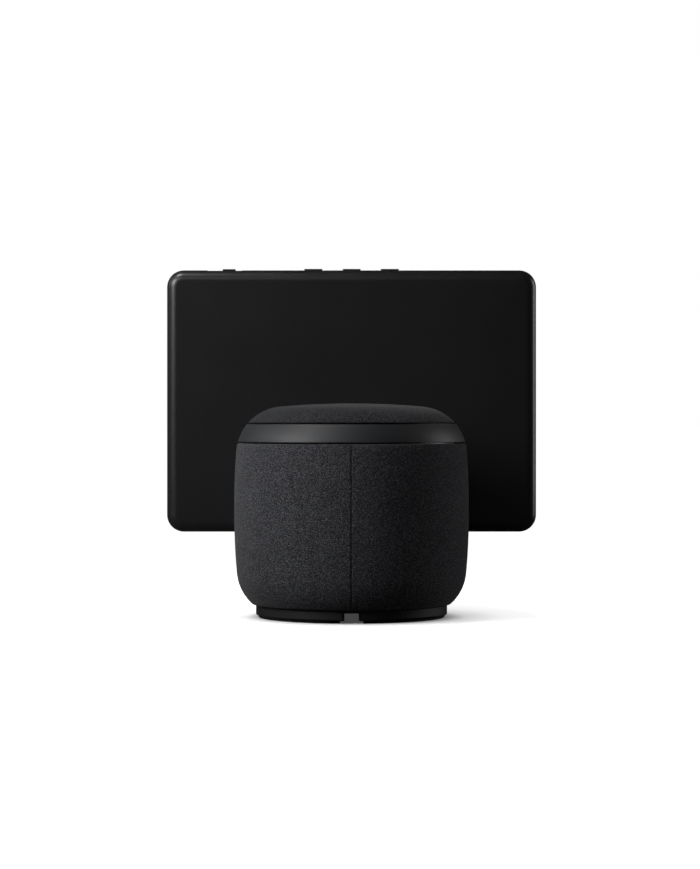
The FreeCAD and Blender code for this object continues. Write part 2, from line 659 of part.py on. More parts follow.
def swivel_band():
    wall = body_shell(0, BAND_T, BAND_LOW_Z, BAND_TOP_Z)
    flange = body_solid(BAND_T / 2).common(cyl(BODY_R, TURN_TOP_Z, TURN_TOP_Z + 2))
    flange = flange.cut(cyl(TURN_R - 8, TURN_TOP_Z - 1, TURN_TOP_Z + 3))
    half = NECK_W / 2 + NECK_GAP
    reach = math.hypot(NECK_W / 2, TURN_R - 3) + 0.15
    relief = block(-half, half, -BODY_R, 0, TURN_TOP_Z - 1, TURN_TOP_Z + 4).common(cyl(reach, 0, BODY_H))
    flange = flange.cut(relief)
    band = joined([wall, flange])
    holes = [cyl(1.4 + FIT, TURN_TOP_Z - 1, TURN_TOP_Z + 3, x, y) for x, y in TURN_SCREWS]
    return without(band, holes + [window(NECK_GAP)])


def band_screws():
    return group([screw(x, y, TURN_TOP_Z + 2, (0, 0, -1), 4.6) for x, y in TURN_SCREWS])


def cap_shell():
    outer = FABRIC_T + SKIN_GAP
    dome = body_solid(outer).cut(body_solid(outer + SHELL_T)).common(cyl(BODY_R, CAP_Z, BODY_H + 1))
    r = body_radius(BAND_TOP_Z, BAND_T) - 0.5
    skirt = tube(r, r - 1.8, BAND_TOP_Z - 5.5, CAP_Z + 4).common(body_solid(outer + 0.2))
    posts = [cyl(2.6, TURN_TOP_Z + 2, BODY_H, *polar(r - 3.3, a)) for a in (0, 60, 120, 180)]
    posts = [p.common(body_solid(outer + 0.2)) for p in posts]
    shell = joined([dome, skirt] + posts)
    return shell.cut(window(NECK_GAP + 0.3))


def cap_fabric():
    return body_solid(0).cut(body_solid(FABRIC_T)).common(cyl(BODY_R, CAP_Z, BODY_H + 1))


def swivel_arm():
    half = NECK_W / 2
    plate = block(-half, half, -(TURN_R - 3), 28, TURN_TOP_Z, TURN_TOP_Z + 2.4)
    low, high = HINGE_Z - NECK_H / 2, HINGE_Z + NECK_H / 2
    neck = block(-half, half, HINGE_Y, -(TURN_R - 14), low, high)
    ribs = [block(x - 1.5, x + 1.5, -(TURN_R - 15), 6, TURN_TOP_Z + 1, low + 4) for x in (-half + 2, half - 2)]
    barrel = cyl_x(BARREL_HINGE_R, -half, half, HINGE_Y, HINGE_Z)
    arm = joined([plate, neck, barrel] + ribs)
    cuts = [cyl_x(SHAFT_R + SHAFT_FIT, -half - 1, half + 1, HINGE_Y, HINGE_Z)]
    cuts.append(cyl(SPINDLE_R - 2, TURN_TOP_Z - 1, TURN_TOP_Z + 9))
    cuts += [cyl(1.4 + FIT, TURN_TOP_Z - 1, TURN_TOP_Z + 4, x, y) for x, y in ARM_SCREWS]
    cuts.append(block(-7, 7, -(TURN_R - 8), -(TURN_R - 30), HINGE_Z - 2.5, high + 1))
    return without(arm, cuts)


def arm_screws():
    return group([screw(x, y, TURN_TOP_Z + 2.4, (0, 0, -1), 5.0) for x, y in ARM_SCREWS])


# ---------------------------------------------------------------- cables held inside
CABLE_R = 2.6


def swept_tube(points, bend):
    """Round cable along straight runs with an arc of radius bend at each corner."""
    edges = []
    start = V(*points[0])
    for k in range(1, len(points) - 1):
        p, a, b = V(*points[k]), V(*points[k - 1]), V(*points[k + 1])
        into, away = (p - a).normalize(), (b - p).normalize()
        turn = into.getAngle(away)
        cut = bend * math.tan(turn / 2)
        t0, t1 = p - into * cut, p + away * cut
        centre_way = (away - into).normalize()
        centre = p + centre_way * (bend / math.cos(turn / 2))
        edges.append(Part.LineSegment(start, t0).toShape())
        edges.append(Part.Arc(t0, centre - centre_way * bend, t1).toShape())
        start = t1
    edges.append(Part.LineSegment(start, V(*points[-1])).toShape())
    path = Part.Wire(edges)
    ring = Part.Wire(Part.makeCircle(CABLE_R, V(*points[0]), (V(*points[1]) - V(*points[0])).normalize()))
    return path.makePipeShell([ring], True, False)


def body_cable():
    """Cable loom from the deck up the middle of the hub, to where the turning part takes over."""
    middle = TURN_LOW_Z + 0.3
    return cyl(CABLE_R, DECK_TOP_Z - DECK_T + 0.5, middle)


def arm_cable():
    """Loom from the spindle's middle over the arm and into the neck's channel."""
    middle = TURN_LOW_Z + 0.8
    level = HINGE_Z + 0.4
    return swept_tube([(0, 0, middle), (0, 0, level), (0, -(TURN_R - 9), level)], 5.0)


# ---------------------------------------------------------------- screen
BOLT_X = SCREEN_W / 2 - 22
CHASSIS_BOLTS = [(x, SCREEN_Z + s * (PANEL_H / 2 - 6)) for x in (-BOLT_X, 0, BOLT_X) for s in (1, -1)]
BUTTONS = {"mic_off_button": BUTTON_PITCH, "volume_down_button": 0.0, "volume_up_button": -BUTTON_PITCH}
BUTTON_Y = SPLIT_Y + BUTTON_D / 2 + 1.1
LUG_X = NECK_W / 2 + PLAY + WASHER_T
SLIDER_Y = SPLIT_Y + SLIDER_D / 2 + 0.3
GLASS_BACK_Y = SCREEN_FRONT_Y + 0.1 + GLASS_T
PANEL_BACK_Y = GLASS_BACK_Y + PANEL_T
LIGHT_BACK_Y = PANEL_BACK_Y + LIGHT_T
CHASSIS_BACK_Y = LIGHT_BACK_Y + CHASSIS_T
CAMERA_Z = SCREEN_TOP_Z - CAMERA_DROP


def lug_slot(side):
    x0, x1 = LUG_X - 0.5, LUG_X + LUG_T + 0.5
    lo, hi = sorted((side * x0, side * x1))
    z = BARREL_HINGE_R + 0.6
    return block(lo, hi, SCREEN_BACK_Y - COVER_WALL - 1, SCREEN_BACK_Y + 1, HINGE_Z - z, HINGE_Z + z)


def slider_recess():
    x0 = SLIDER_X - SLIDER_W / 2
    return block(x0 - 4.5, x0 + SLIDER_W + SLIDER_TRAVEL + 1.5, SCREEN_FRONT_Y - 1, SCREEN_BACK_Y + 1,
                 SCREEN_TOP_Z - 0.4, SCREEN_TOP_Z + 3)


def rounded_back(w, h, r, y0, y1, back_round):
    """Tray-shaped block: rounded corners, and its rear edge (at y1) rounded over."""
    body = slab(w, h, r, y0, y1, 0, SCREEN_Z)
    rear = [e for e in body.Edges if e.BoundBox.YMin > y1 - 1e-6]
    return body.makeFillet(back_round, rear)


def back_cover():
    t = COVER_WALL
    body = rounded_back(SCREEN_W, SCREEN_H, SCREEN_CORNER, SPLIT_Y, SCREEN_BACK_Y, BACK_ROUND)
    hollow = rounded_back(SCREEN_W - 2 * t, SCREEN_H - 2 * t, SCREEN_CORNER - t, SPLIT_Y - 5,
                          SCREEN_BACK_Y - t, BACK_ROUND - t)
    shell = body.cut(hollow)
    cuts = [cyl_y(MIC_R, SCREEN_BACK_Y - t - 1, SCREEN_BACK_Y + 1, 0, SCREEN_TOP_Z - MIC_DROP)]
    cuts += [lug_slot(1), lug_slot(-1), slider_recess()]
    x0 = SLIDER_X - SLIDER_W / 2 - PLAY
    cuts.append(block(x0, x0 + SLIDER_W + SLIDER_TRAVEL + 2 * PLAY, SLIDER_Y - SLIDER_D / 2 - PLAY,
                      SLIDER_Y + SLIDER_D / 2 + PLAY, SCREEN_TOP_Z - 5, SCREEN_TOP_Z + 2))
    for x in BUTTONS.values():
        w, d = BUTTON_W / 2 + PLAY, BUTTON_D / 2 + PLAY
        cuts.append(block(x - w, x + w, BUTTON_Y - d, BUTTON_Y + d, SCREEN_TOP_Z - 5, SCREEN_TOP_Z + 2))
    return without(shell, cuts)


def front_frame():
    body = slab(SCREEN_W, SCREEN_H, SCREEN_CORNER, SCREEN_FRONT_Y, SPLIT_Y, 0, SCREEN_Z)
    front = [e for e in body.Edges if e.BoundBox.YMax < SCREEN_FRONT_Y + 1e-6]
    body = body.makeFillet(0.8, front)
    inner_r = max(SCREEN_CORNER - FRAME_W, 2.0)
    opening = slab(SCREEN_W - 2 * FRAME_W, SCREEN_H - 2 * FRAME_W, inner_r, SCREEN_FRONT_Y - 1, SPLIT_Y + 1, 0, SCREEN_Z)
    rebate = slab(SCREEN_W - 2 * LIP_W, SCREEN_H - 2 * LIP_W, SCREEN_CORNER - LIP_W,
                  SCREEN_FRONT_Y - 1, GLASS_BACK_Y, 0, SCREEN_Z)
    return without(body, [opening, rebate, slider_recess()])


def cover_glass():
    inset = 2 * (LIP_W + 0.08)
    body = slab(SCREEN_W - inset, SCREEN_H - inset, SCREEN_CORNER - LIP_W - 0.08,
                SCREEN_FRONT_Y + 0.1, GLASS_BACK_Y, 0, SCREEN_Z)
    front = [e for e in body.Edges if e.BoundBox.YMax < SCREEN_FRONT_Y + 0.1 + 1e-6]
    return body.makeChamfer(0.25, front)


def lcd_panel():
    return slab(PANEL_W, PANEL_H, 1.0, GLASS_BACK_Y, PANEL_BACK_Y, 0, SCREEN_Z)


def backlight_unit():
    return slab(PANEL_W, PANEL_H, 1.0, PANEL_BACK_Y, LIGHT_BACK_Y, 0, SCREEN_Z)


def chassis_plate():
    y0 = CHASSIS_BACK_Y - CHASSIS_T
    plate = slab(SCREEN_W - 2 * FRAME_W - 1, PANEL_H + 1.5, 4.0, y0, CHASSIS_BACK_Y, 0, SCREEN_Z)
    posts = [cyl_y(3.0, y0 + 0.5, SCREEN_BACK_Y - COVER_WALL, x, z) for x, z in CHASSIS_BOLTS]
    body = joined([plate] + posts)
    return without(body, [cyl_y(1.1, CHASSIS_BACK_Y - 0.3, SCREEN_BACK_Y, x, z) for x, z in CHASSIS_BOLTS])


BRACKET_BOLTS = [(x, HINGE_Z + dz) for x in (-40, 40) for dz in (-16, 24)]


def hinge_bracket():
    y0 = CHASSIS_BACK_Y
    y1 = y0 + 1.6
    plate = block(-46, 46, y0, y1, HINGE_Z - 22, HINGE_Z + 30)
    pieces = [plate]
    for side in (1, -1):
        lo, hi = sorted((side * LUG_X, side * (LUG_X + LUG_T)))
        r = BARREL_HINGE_R
        pieces.append(block(lo, hi, y0 + 0.2, HINGE_Y, HINGE_Z - r, HINGE_Z + r))
        pieces.append(cyl_x(r, lo, hi, HINGE_Y, HINGE_Z))
    body = joined(pieces)
    cuts = [cyl_x(SHAFT_R + 0.02, -60, 60, HINGE_Y, HINGE_Z)]
    cuts += [cyl_y(1.0 + FIT, y0 - 1, y1 + 1, x, z) for x, z in BRACKET_BOLTS]
    return without(body, cuts)


def bracket_screws():
    y1 = CHASSIS_BACK_Y + 1.6
    return group([screw(x, y1, z, (0, -1, 0), 1.5, 1.0, 2.0, 0.9) for x, z in BRACKET_BOLTS])


def hinge_shaft():
    end = LUG_X + LUG_T
    shaft = cyl_x(SHAFT_R, -end, end, HINGE_Y, HINGE_Z)
    heads = [cyl_x(SHAFT_R + 1.5, end, end + 1.2, HINGE_Y, HINGE_Z), cyl_x(SHAFT_R + 1.5, -end - 1.2, -end, HINGE_Y, HINGE_Z)]
    return joined([shaft] + heads)


def friction_washers():
    r = BARREL_HINGE_R - 0.3
    washers = []
    for side in (1, -1):
        x0, x1 = sorted((side * (NECK_W / 2 + PLAY), side * LUG_X))
        washers.append(cyl_x(r, x0, x1, HINGE_Y, HINGE_Z).cut(cyl_x(SHAFT_R + 0.02, x0 - 1, x1 + 1, HINGE_Y, HINGE_Z)))
    return group(washers)


BOARD_T = 1.0


def logic_board():
    y0 = CHASSIS_BACK_Y + 0.8
    z0 = HINGE_Z + 34
    board = block(-70, 45, y0, y0 + BOARD_T, z0, z0 + 42)
    posts = [cyl_y(1.8, CHASSIS_BACK_Y, y0, x, z) for x in (-66, 41) for z in (z0 + 4, z0 + 38)]
    chips = [block(-20, -8, y0 + BOARD_T, y0 + BOARD_T + 0.9, z0 + 4, z0 + 12),
             block(20, 34, y0 + BOARD_T, y0 + BOARD_T + 0.9, z0 + 5, z0 + 11)]
    return group([board] + posts + chips)


def shield_cans():
    y0 = CHASSIS_BACK_Y + 0.8 + BOARD_T
    z0 = HINGE_Z + 34
    cans = []
    for x0, x1 in ((-62, -26), (-4, 36)):
        can = block(x0, x1, y0, y0 + 1.5, z0 + 15, z0 + 39)
        cans.append(can.cut(block(x0 + 0.3, x1 - 0.3, y0 - 1, y0 + 1.2, z0 + 15.3, z0 + 38.7)))
    return group(cans)


def camera_module():
    y0 = GLASS_BACK_Y + 1.0
    holder = block(CAMERA_X - 4.2, CAMERA_X + 4.2, y0 + 1.0, y0 + 5.5, CAMERA_Z - 3.4, CAMERA_Z + 3.4)
    barrel = cyl_y(3.2, y0, y0 + 1.2, CAMERA_X, CAMERA_Z).cut(cyl_y(1.8, y0 - 1, y0 + 0.7, CAMERA_X, CAMERA_Z))
    sensor = block(CAMERA_X - 22, CAMERA_X - 19, GLASS_BACK_Y, GLASS_BACK_Y + 1.2, CAMERA_Z - 1.2, CAMERA_Z)
    return group([joined([holder, barrel]), sensor])


def camera_lens():
    y0 = GLASS_BACK_Y + 1.0
    lens = cyl_y(1.78, y0 + 0.25, y0 + 0.7, CAMERA_X, CAMERA_Z)
    front = [e for e in lens.Edges if e.BoundBox.YMax < y0 + 0.25 + 1e-6]
    return lens.makeFillet(0.2, front)


def shutter_slider():
    """Thumb piece on the top edge with its stem and the thin blade that covers the camera."""
    x0, x1 = SLIDER_X - SLIDER_W / 2, SLIDER_X + SLIDER_W / 2
    y0, y1 = SLIDER_Y - SLIDER_D / 2, SLIDER_Y + SLIDER_D / 2
    knob = block(x0, x1, y0, y1, SCREEN_TOP_Z - 2.5, SCREEN_TOP_Z + BUTTON_PROUD)
    edges = [e for e in knob.Edges if e.BoundBox.ZMin > SCREEN_TOP_Z + BUTTON_PROUD - 1e-6]
    knob = knob.makeFillet(0.35, edges)
    blade_y = GLASS_BACK_Y + PLAY
    low, high = SCREEN_TOP_Z - FRAME_W - PLAY - 0.5, SCREEN_TOP_Z - FRAME_W - PLAY
    stem = block(x0 + 2, x1 - 2, blade_y, SLIDER_Y, low, high)
    rod = block(x0 + 2, x1 - 2, SLIDER_Y - 0.8, SLIDER_Y + 0.8, low, SCREEN_TOP_Z - 2)
    blade = block(x0 + 1, SLIDER_X + 10, blade_y, blade_y + 0.4, CAMERA_Z - 3.6, high)
    return joined([knob, rod, stem, blade])


def rear_microphone():
    z = SCREEN_TOP_Z - MIC_DROP
    y1 = SCREEN_BACK_Y - COVER_WALL - 0.1
    gasket = cyl_y(2.4, y1 - 0.8, y1, 0, z).cut(cyl_y(MIC_R, y1 - 2, y1 + 1, 0, z))
    can = block(-2.4, 2.4, y1 - 2.0, y1 - 0.8, z - 1.9, z + 1.9)
    return group([gasket, can])


def press_button(x):
    w, d = BUTTON_W / 2, BUTTON_D / 2
    low = SCREEN_TOP_Z - COVER_WALL - 0.45
    cap = block(x - w, x + w, BUTTON_Y - d, BUTTON_Y + d, low, SCREEN_TOP_Z + BUTTON_PROUD)
    ends = [e for e in cap.Edges if abs(e.tangentAt(e.FirstParameter).z) > 0.99]
    cap = cap.makeFillet(1.2, ends)
    rim = [e for e in cap.Edges if e.BoundBox.ZMin > SCREEN_TOP_Z + BUTTON_PROUD - 1e-6]
    cap = cap.makeFillet(0.35, rim)
    flange = block(x - w - 1.2, x + w + 1.2, BUTTON_Y - d + 0.4, BUTTON_Y + 1.0, low - FLANGE_T, low)
    return joined([cap, flange])


FLANGE_T = 1.1
SWITCH_TOP_Z = SCREEN_TOP_Z - COVER_WALL - 0.45 - FLANGE_T - BUTTON_TRAVEL - PLAY


def button_board():
    y0, y1 = BUTTON_Y - 2.2, BUTTON_Y + 1.3
    board = block(-BUTTON_PITCH - 10, BUTTON_PITCH + 10, y0, y1, SWITCH_TOP_Z - 2.2, SWITCH_TOP_Z - 1.4)
    switches = [block(x - 1.8, x + 1.8, y0 + 0.4, y1 - 0.4, SWITCH_TOP_Z - 1.4, SWITCH_TOP_Z) for x in BUTTONS.values()]
    return group([board] + switches)


# ---------------------------------------------------------------- write every piece
def main():
    os.makedirs("parts", exist_ok=True)
    write("foot_pad", foot_pad())
    write("base_pan", base_pan())
    write("pan_screws", pan_screws())
    write("power_socket", power_socket())
    write("socket_pin", socket_pin())
    write("power_board", power_board())
    write("speaker_enclosure", speaker_enclosure())
    for name, shape in woofer_parts().items():
        write(name, facing(shape, 0, WOOFER_FACE, WOOFER_Z))
    write("tweeters", tweeters())
    write("grille_shell", grille_shell())
    write("fabric_sleeve", fabric_sleeve())
    write("trim_ring", trim_ring())
    write("chassis_deck", chassis_deck())
    write("deck_screws", deck_screws())
    write("bearing_hub", bearing_hub())
    write("inner_race", inner_race())
    write("bearing_balls", bearing_balls())
    write("ball_cage", ball_cage())
    write("outer_race", outer_race())
    write("bearing_retainer", bearing_retainer())
    write("hub_screws", hub_screws())
    write("motor_stator", motor_stator())
    write("motor_rotor", motor_rotor())
    write("drive_pinion", drive_pinion())
    write("main_board", main_board())
    write("ring_gear", ring_gear())
    write("turntable", turntable())
    write("race_clamp", race_clamp())
    write("clamp_screws", clamp_screws())
    write("swivel_band", swivel_band())
    write("band_screws", band_screws())
    write("cap_shell", cap_shell())
    write("cap_fabric", cap_fabric())
    write("swivel_arm", swivel_arm())
    write("arm_screws", arm_screws())
    write("body_cable", body_cable())
    write("arm_cable", arm_cable())
    write("back_cover", back_cover())
    write("front_frame", front_frame())
    write("cover_glass", cover_glass())
    write("lcd_panel", lcd_panel())
    write("backlight_unit", backlight_unit())
    write("chassis_plate", chassis_plate())
    write("hinge_bracket", hinge_bracket())
    write("bracket_screws", bracket_screws())
    write("hinge_shaft", hinge_shaft())
    write("friction_washers", friction_washers())
    write("logic_board", logic_board())
    write("shield_cans", shield_cans())
    write("camera_module", camera_module())
    write("camera_lens", camera_lens())
    write("shutter_slider", shutter_slider())
    write("rear_microphone", rear_microphone())
    write("button_board", button_board())
    for name, x in BUTTONS.items():
        write(name, press_button(x))


main()
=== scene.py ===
import bmesh
import bpy
import json
import math
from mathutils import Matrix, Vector


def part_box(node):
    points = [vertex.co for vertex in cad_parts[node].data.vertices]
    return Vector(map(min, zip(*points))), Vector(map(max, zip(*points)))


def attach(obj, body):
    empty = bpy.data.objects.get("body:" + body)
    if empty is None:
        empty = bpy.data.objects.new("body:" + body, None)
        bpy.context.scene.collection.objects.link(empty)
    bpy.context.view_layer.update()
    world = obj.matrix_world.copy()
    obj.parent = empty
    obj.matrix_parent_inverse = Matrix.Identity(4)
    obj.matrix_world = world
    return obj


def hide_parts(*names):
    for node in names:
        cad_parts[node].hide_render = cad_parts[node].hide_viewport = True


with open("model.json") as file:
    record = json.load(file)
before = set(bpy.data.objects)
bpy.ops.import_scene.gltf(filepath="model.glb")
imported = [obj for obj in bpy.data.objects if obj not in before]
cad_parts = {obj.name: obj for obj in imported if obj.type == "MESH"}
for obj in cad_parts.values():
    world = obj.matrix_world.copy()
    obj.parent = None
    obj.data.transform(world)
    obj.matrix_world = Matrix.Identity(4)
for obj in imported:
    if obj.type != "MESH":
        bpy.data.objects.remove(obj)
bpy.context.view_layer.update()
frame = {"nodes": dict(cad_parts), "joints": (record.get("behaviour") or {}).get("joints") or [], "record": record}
print("frame loaded,", len(frame["nodes"]), "nodes")

sleeveLow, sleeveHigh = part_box("fabric_sleeve")
capLow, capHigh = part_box("cap_fabric")
bandLow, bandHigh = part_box("swivel_band")
coverLow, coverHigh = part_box("back_cover")
rimLow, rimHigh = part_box("front_frame")
glassLow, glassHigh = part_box("cover_glass")
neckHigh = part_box("swivel_arm")[1]

# outer curve of the body: crown, shoulder, side, straight belt, side, heel
bodyForm = {
    "maxR": (sleeveHigh[0] - sleeveLow[0]) / 2,
    "top": capHigh[2],
    "crownR": 0.510,
    "shoulderR": 0.031,
    "barrelR": 0.375,
    "beltDrop": 0.0618,
    "beltHeight": 0.0125,
    "heelR": 0.030,
    "heelZ": 0.001,
}


def farMeeting(a, ra, b, rb):
    # of the two points at ra from a and rb from b, the one further out
    dx, dz = b[0] - a[0], b[1] - a[1]
    d = math.hypot(dx, dz)
    along = (ra * ra - rb * rb + d * d) / (2 * d)
    off = math.sqrt(ra * ra - along * along)
    x, z = a[0] + dx * along / d, a[1] + dz * along / d
    return max([(x + s * dz * off / d, z - s * dx * off / d) for s in (1, -1)])


def bodyArcs():
    f = bodyForm
    beltTop = f["top"] - f["beltDrop"]
    beltBottom = beltTop - f["beltHeight"]
    crown = (0.0, f["top"] - f["crownR"])
    upper = (f["maxR"] - f["barrelR"], beltTop)
    lower = (f["maxR"] - f["barrelR"], beltBottom)
    shoulder = farMeeting(crown, f["crownR"] - f["shoulderR"], upper, f["barrelR"] - f["shoulderR"])
    heelZ = f["heelZ"] + f["heelR"]
    heel = (lower[0] + math.sqrt((f["barrelR"] - f["heelR"]) ** 2 - (heelZ - lower[1]) ** 2), heelZ)
    a1 = math.atan2(shoulder[1] - crown[1], shoulder[0] - crown[0])
    a2 = math.atan2(shoulder[1] - upper[1], shoulder[0] - upper[0])
    a3 = math.atan2(heel[1] - lower[1], heel[0] - lower[0])
    return [
        (crown, f["crownR"], math.pi / 2, a1),
        (shoulder, f["shoulderR"], a1, a2),
        (upper, f["barrelR"], a2, 0.0),
        (lower, f["barrelR"], 0.0, a3),
        (heel, f["heelR"], a3, -math.pi / 2),
    ]


fewestSteps = 4
samePoint = 2e-5
hair = 1e-6


def bodyCurve(inset, zLow, zHigh, step=0.0015):
    # points (r, z) down the outer curve, moved in by inset, between two heights
    found = []
    for centre, radius, start, stop in bodyArcs():
        r = radius - inset
        count = max(fewestSteps, int(abs(start - stop) * r / step))
        for k in range(count + 1):
            a = start + (stop - start) * k / count
            found.append((centre[0] + r * math.cos(a), centre[1] + r * math.sin(a)))
    kept = []
    for p, q in zip(found, found[1:]):
        for limit in (zHigh, zLow):
            if p[1] > limit > q[1]:
                t = (p[1] - limit) / (p[1] - q[1])
                kept.append((p[0] + (q[0] - p[0]) * t, limit))
        if zLow <= q[1] <= zHigh:
            kept.append(q)
    if found[0][1] <= zHigh + hair:
        kept.insert(0, (0.0, found[0][1]))
    clean = [kept[0]]
    for p in sorted(kept[1:], key=lambda p: -p[1]):
        if math.dist(p, clean[-1]) > samePoint:
            clean.append(p)
    return clean


def newObject(name, bm, smooth=True):
    bmesh.ops.recalc_face_normals(bm, faces=bm.faces)
    mesh = bpy.data.meshes.new(name)
    bm.to_mesh(mesh)
    bm.free()
    for face in mesh.polygons:
        face.use_smooth = smooth
    piece = bpy.data.objects.new(name, mesh)
    bpy.context.collection.objects.link(piece)
    return piece


def sharpen(piece, degrees=32):
    # smooth shading that breaks at real edges
    piece.data.set_sharp_from_angle(angle=math.radians(degrees))


def lathe(name, outline, segments, closed=True, seam=False, crown=False):
    # turns an outline of (r, z) round the upright axis; u and v are lengths in metres along the cloth
    bm = bmesh.new()
    uv = bm.loops.layers.uv.new("cloth")
    spread = max(r for r, z in outline)
    travelled = [0.0]
    for p, q in zip(outline, outline[1:]):
        travelled.append(travelled[-1] + math.dist(p, q))
    rings = []
    angles = [2 * math.pi * k / segments - math.pi / 2 for k in range(segments)]
    if seam:
        # extra columns at the back, where the seam is drawn in
        near = [math.pi / 2 + side * away / spread for side in (1, -1) for away in seamLook["columns"]]
        clear = seamLook["columns"][-1] / spread * seamLook["clear"]
        angles = sorted(set([a for a in angles if abs(a - math.pi / 2) > clear] + near))
    segments = len(angles)
    turns = angles + [angles[0] + 2 * math.pi]
    for r, z in outline:
        if r < hair:
            rings.append([bm.verts.new((0, 0, z))] * segments)
        else:
            rings.append([bm.verts.new((r * math.cos(a), r * math.sin(a), z)) for a in angles])
    pairs = list(zip(range(len(rings)), range(1, len(rings))))
    if closed:
        pairs.append((len(rings) - 1, 0))
    for i, j in pairs:
        for k in range(segments):
            n = (k + 1) % segments
            corners = [(rings[i][k], k, i), (rings[i][n], k + 1, i),
                       (rings[j][n], k + 1, j), (rings[j][k], k, j)]
            unique = []
            for c in corners:
                if all(c[0] is not u[0] for u in unique):
                    unique.append(c)
            if len(unique) < 3:
                continue
            face = bm.faces.new([c[0] for c in unique])
            for loop, (vert, column, row) in zip(face.loops, unique):
                a, v = turns[column], travelled[row]
                # the crown is one flat piece of cloth drawn down from its middle
                loop[uv].uv = (v * math.cos(a), v * math.sin(a)) if crown else (a * spread, v)
    return newObject(name, bm)


def rolledEdge(p, q, into, radius, steps=4):
    # quarter round from p, which it leaves along q and ends along into
    points = []
    for k in range(1, steps + 1):
        a = math.pi / 2 * k / steps
        points.append((p[0] + radius * (into[0] * (1 - math.cos(a)) + q[0] * math.sin(a)),
                       p[1] + radius * (into[1] * (1 - math.cos(a)) + q[1] * math.sin(a))))
    return points


def heading(start, end):
    # unit step from one point of an outline to the next
    length = math.dist(start, end)
    return (end[0] - start[0]) / length, (end[1] - start[1]) / length


def skinOutline(zLow, zHigh, thickness, roll, crown=False):
    # closed outline of a skin that follows the body's curve, its free edges rolled over
    outer = bodyCurve(0.0, zLow + roll, zHigh if crown else zHigh - roll)
    tuck = roll * sleeveLook["tuck"]
    inner = bodyCurve(thickness, zLow + tuck, zHigh if crown else zHigh - tuck)[::-1]
    outline = outer + rolledEdge(outer[-1], heading(outer[-2], outer[-1]), (-1, 0), roll) + inner
    if not crown:
        outline += rolledEdge(outer[0], heading(outer[1], outer[0]), (-1, 0), roll)[::-1]
    return outline


sleeveLook = {"segments": 360, "thickness": 0.001, "roll": 0.0005, "tuck": 0.3}


def makeSleeve():
    outline = skinOutline(sleeveLow[2], sleeveHigh[2], sleeveLook["thickness"], sleeveLook["roll"])
    piece = lathe("bodySleeve", outline, sleeveLook["segments"], seam=True)
    # the cloth is drawn in along its one upright seam at the back
    for v in piece.data.vertices:
        across = abs(v.co.x)
        if v.co.y > 0 and across < seamLook["width"]:
            pull = seamLook["depth"] * (1 - across / seamLook["width"])
            r = math.hypot(v.co.x, v.co.y)
            v.co.x *= (r - pull) / r
            v.co.y *= (r - pull) / r
    return piece


seamLook = {"width": 0.0008, "depth": 0.0004, "pitch": 0.0016, "length": 0.0011, "thick": 0.00014,
            "columns": (0.0, 0.0002, 0.0004, 0.0008, 0.0012), "clear": 1.3, "endGap": 0.002,
            "pathStep": 0.002, "sunk": 0.4}


def makeCap():
    outline = skinOutline(capLow[2], capHigh[2], sleeveLook["thickness"], sleeveLook["roll"], crown=True)
    return lathe("capSkin", outline, sleeveLook["segments"], closed=False, crown=True)


bandLook = {"segments": 360, "wall": 0.0022, "round": 0.00035, "play": 0.0005, "step": 0.0008,
            "cutOut": 0.01, "cutIn": 0.03}


def makeBand():
    low, high, r = bandLow[2], bandHigh[2], bandLook["round"]
    outer = bodyCurve(0.0, low + r, high - r, bandLook["step"])
    top, bottom = outer[0], outer[-1]
    outline = list(outer)
    outline += rolledEdge(bottom, (0, -1), (-1, 0), r)
    outline += [(bottom[0] - bandLook["wall"], low), (top[0] - bandLook["wall"], high)]
    outline += rolledEdge(top, (0, 1), (-1, 0), r)[::-1]
    ring = lathe("turningBand", outline, bandLook["segments"])
    # the window the neck comes out of
    gap = bandLook["play"]
    half = neckHigh[0] + gap
    cutter = boxObject("neckWindow", (-half, -bodyForm["maxR"] - bandLook["cutOut"], neckWindow[0] - gap),
                       (half, -bodyForm["maxR"] + bandLook["cutIn"], neckWindow[1] + gap))
    carve(ring, cutter)
    sharpen(ring)
    return ring


neckLook = {"height": 0.0078, "edge": 0.0006}
hingeZ = next(j for j in frame["joints"] if j["name"] == "screen_tilt")["pos_m"][2]
neckWindow = (hingeZ - neckLook["height"] / 2, hingeZ + neckLook["height"] / 2)


def boxObject(name, low, high):
    bm = bmesh.new()
    bmesh.ops.create_cube(bm, size=1.0)
    for v in bm.verts:
        v.co = Vector([low[i] + (v.co[i] + 0.5) * (high[i] - low[i]) for i in range(3)])
    return newObject(name, bm, smooth=False)


def plainMesh(piece):
    # the evaluated shape becomes the mesh and the modifiers go
    graph = bpy.context.evaluated_depsgraph_get()
    mesh = bpy.data.meshes.new_from_object(piece.evaluated_get(graph))
    piece.modifiers.clear()
    old = piece.data
    piece.data = mesh
    mesh.name = piece.name
    bpy.data.meshes.remove(old)


def carve(piece, cutter):
    tool = piece.modifiers.new("cut", "BOOLEAN")
    tool.object = cutter
    tool.operation = "DIFFERENCE"
    tool.solver = "EXACT"
    bpy.context.view_layer.update()
    plainMesh(piece)
    bpy.data.objects.remove(cutter)


def roundedLoop(width, height, corner, steps, edgeSteps):
    # points of a rounded rectangle about its middle, anticlockwise as seen from the front
    points = []
    cx, cz = width / 2 - corner, height / 2 - corner
    centres = [(cx, cz, 0), (-cx, cz, 90), (-cx, -cz, 180), (cx, -cz, 270)]
    for n, (x, z, start) in enumerate(centres):
        for k in range(steps + 1):
            a = math.radians(start + 90 * k / steps)
            points.append((x + corner * math.cos(a), z + corner * math.sin(a)))
        nx, nz, nStart = centres[(n + 1) % 4]
        a = math.radians(nStart)
        end = (nx + corner * math.cos(a), nz + corner * math.sin(a))
        begin = points[-1]
        for k in range(1, edgeSteps):
            t = k / edgeSteps
            points.append((begin[0] + (end[0] - begin[0]) * t, begin[1] + (end[1] - begin[1]) * t))
    return points


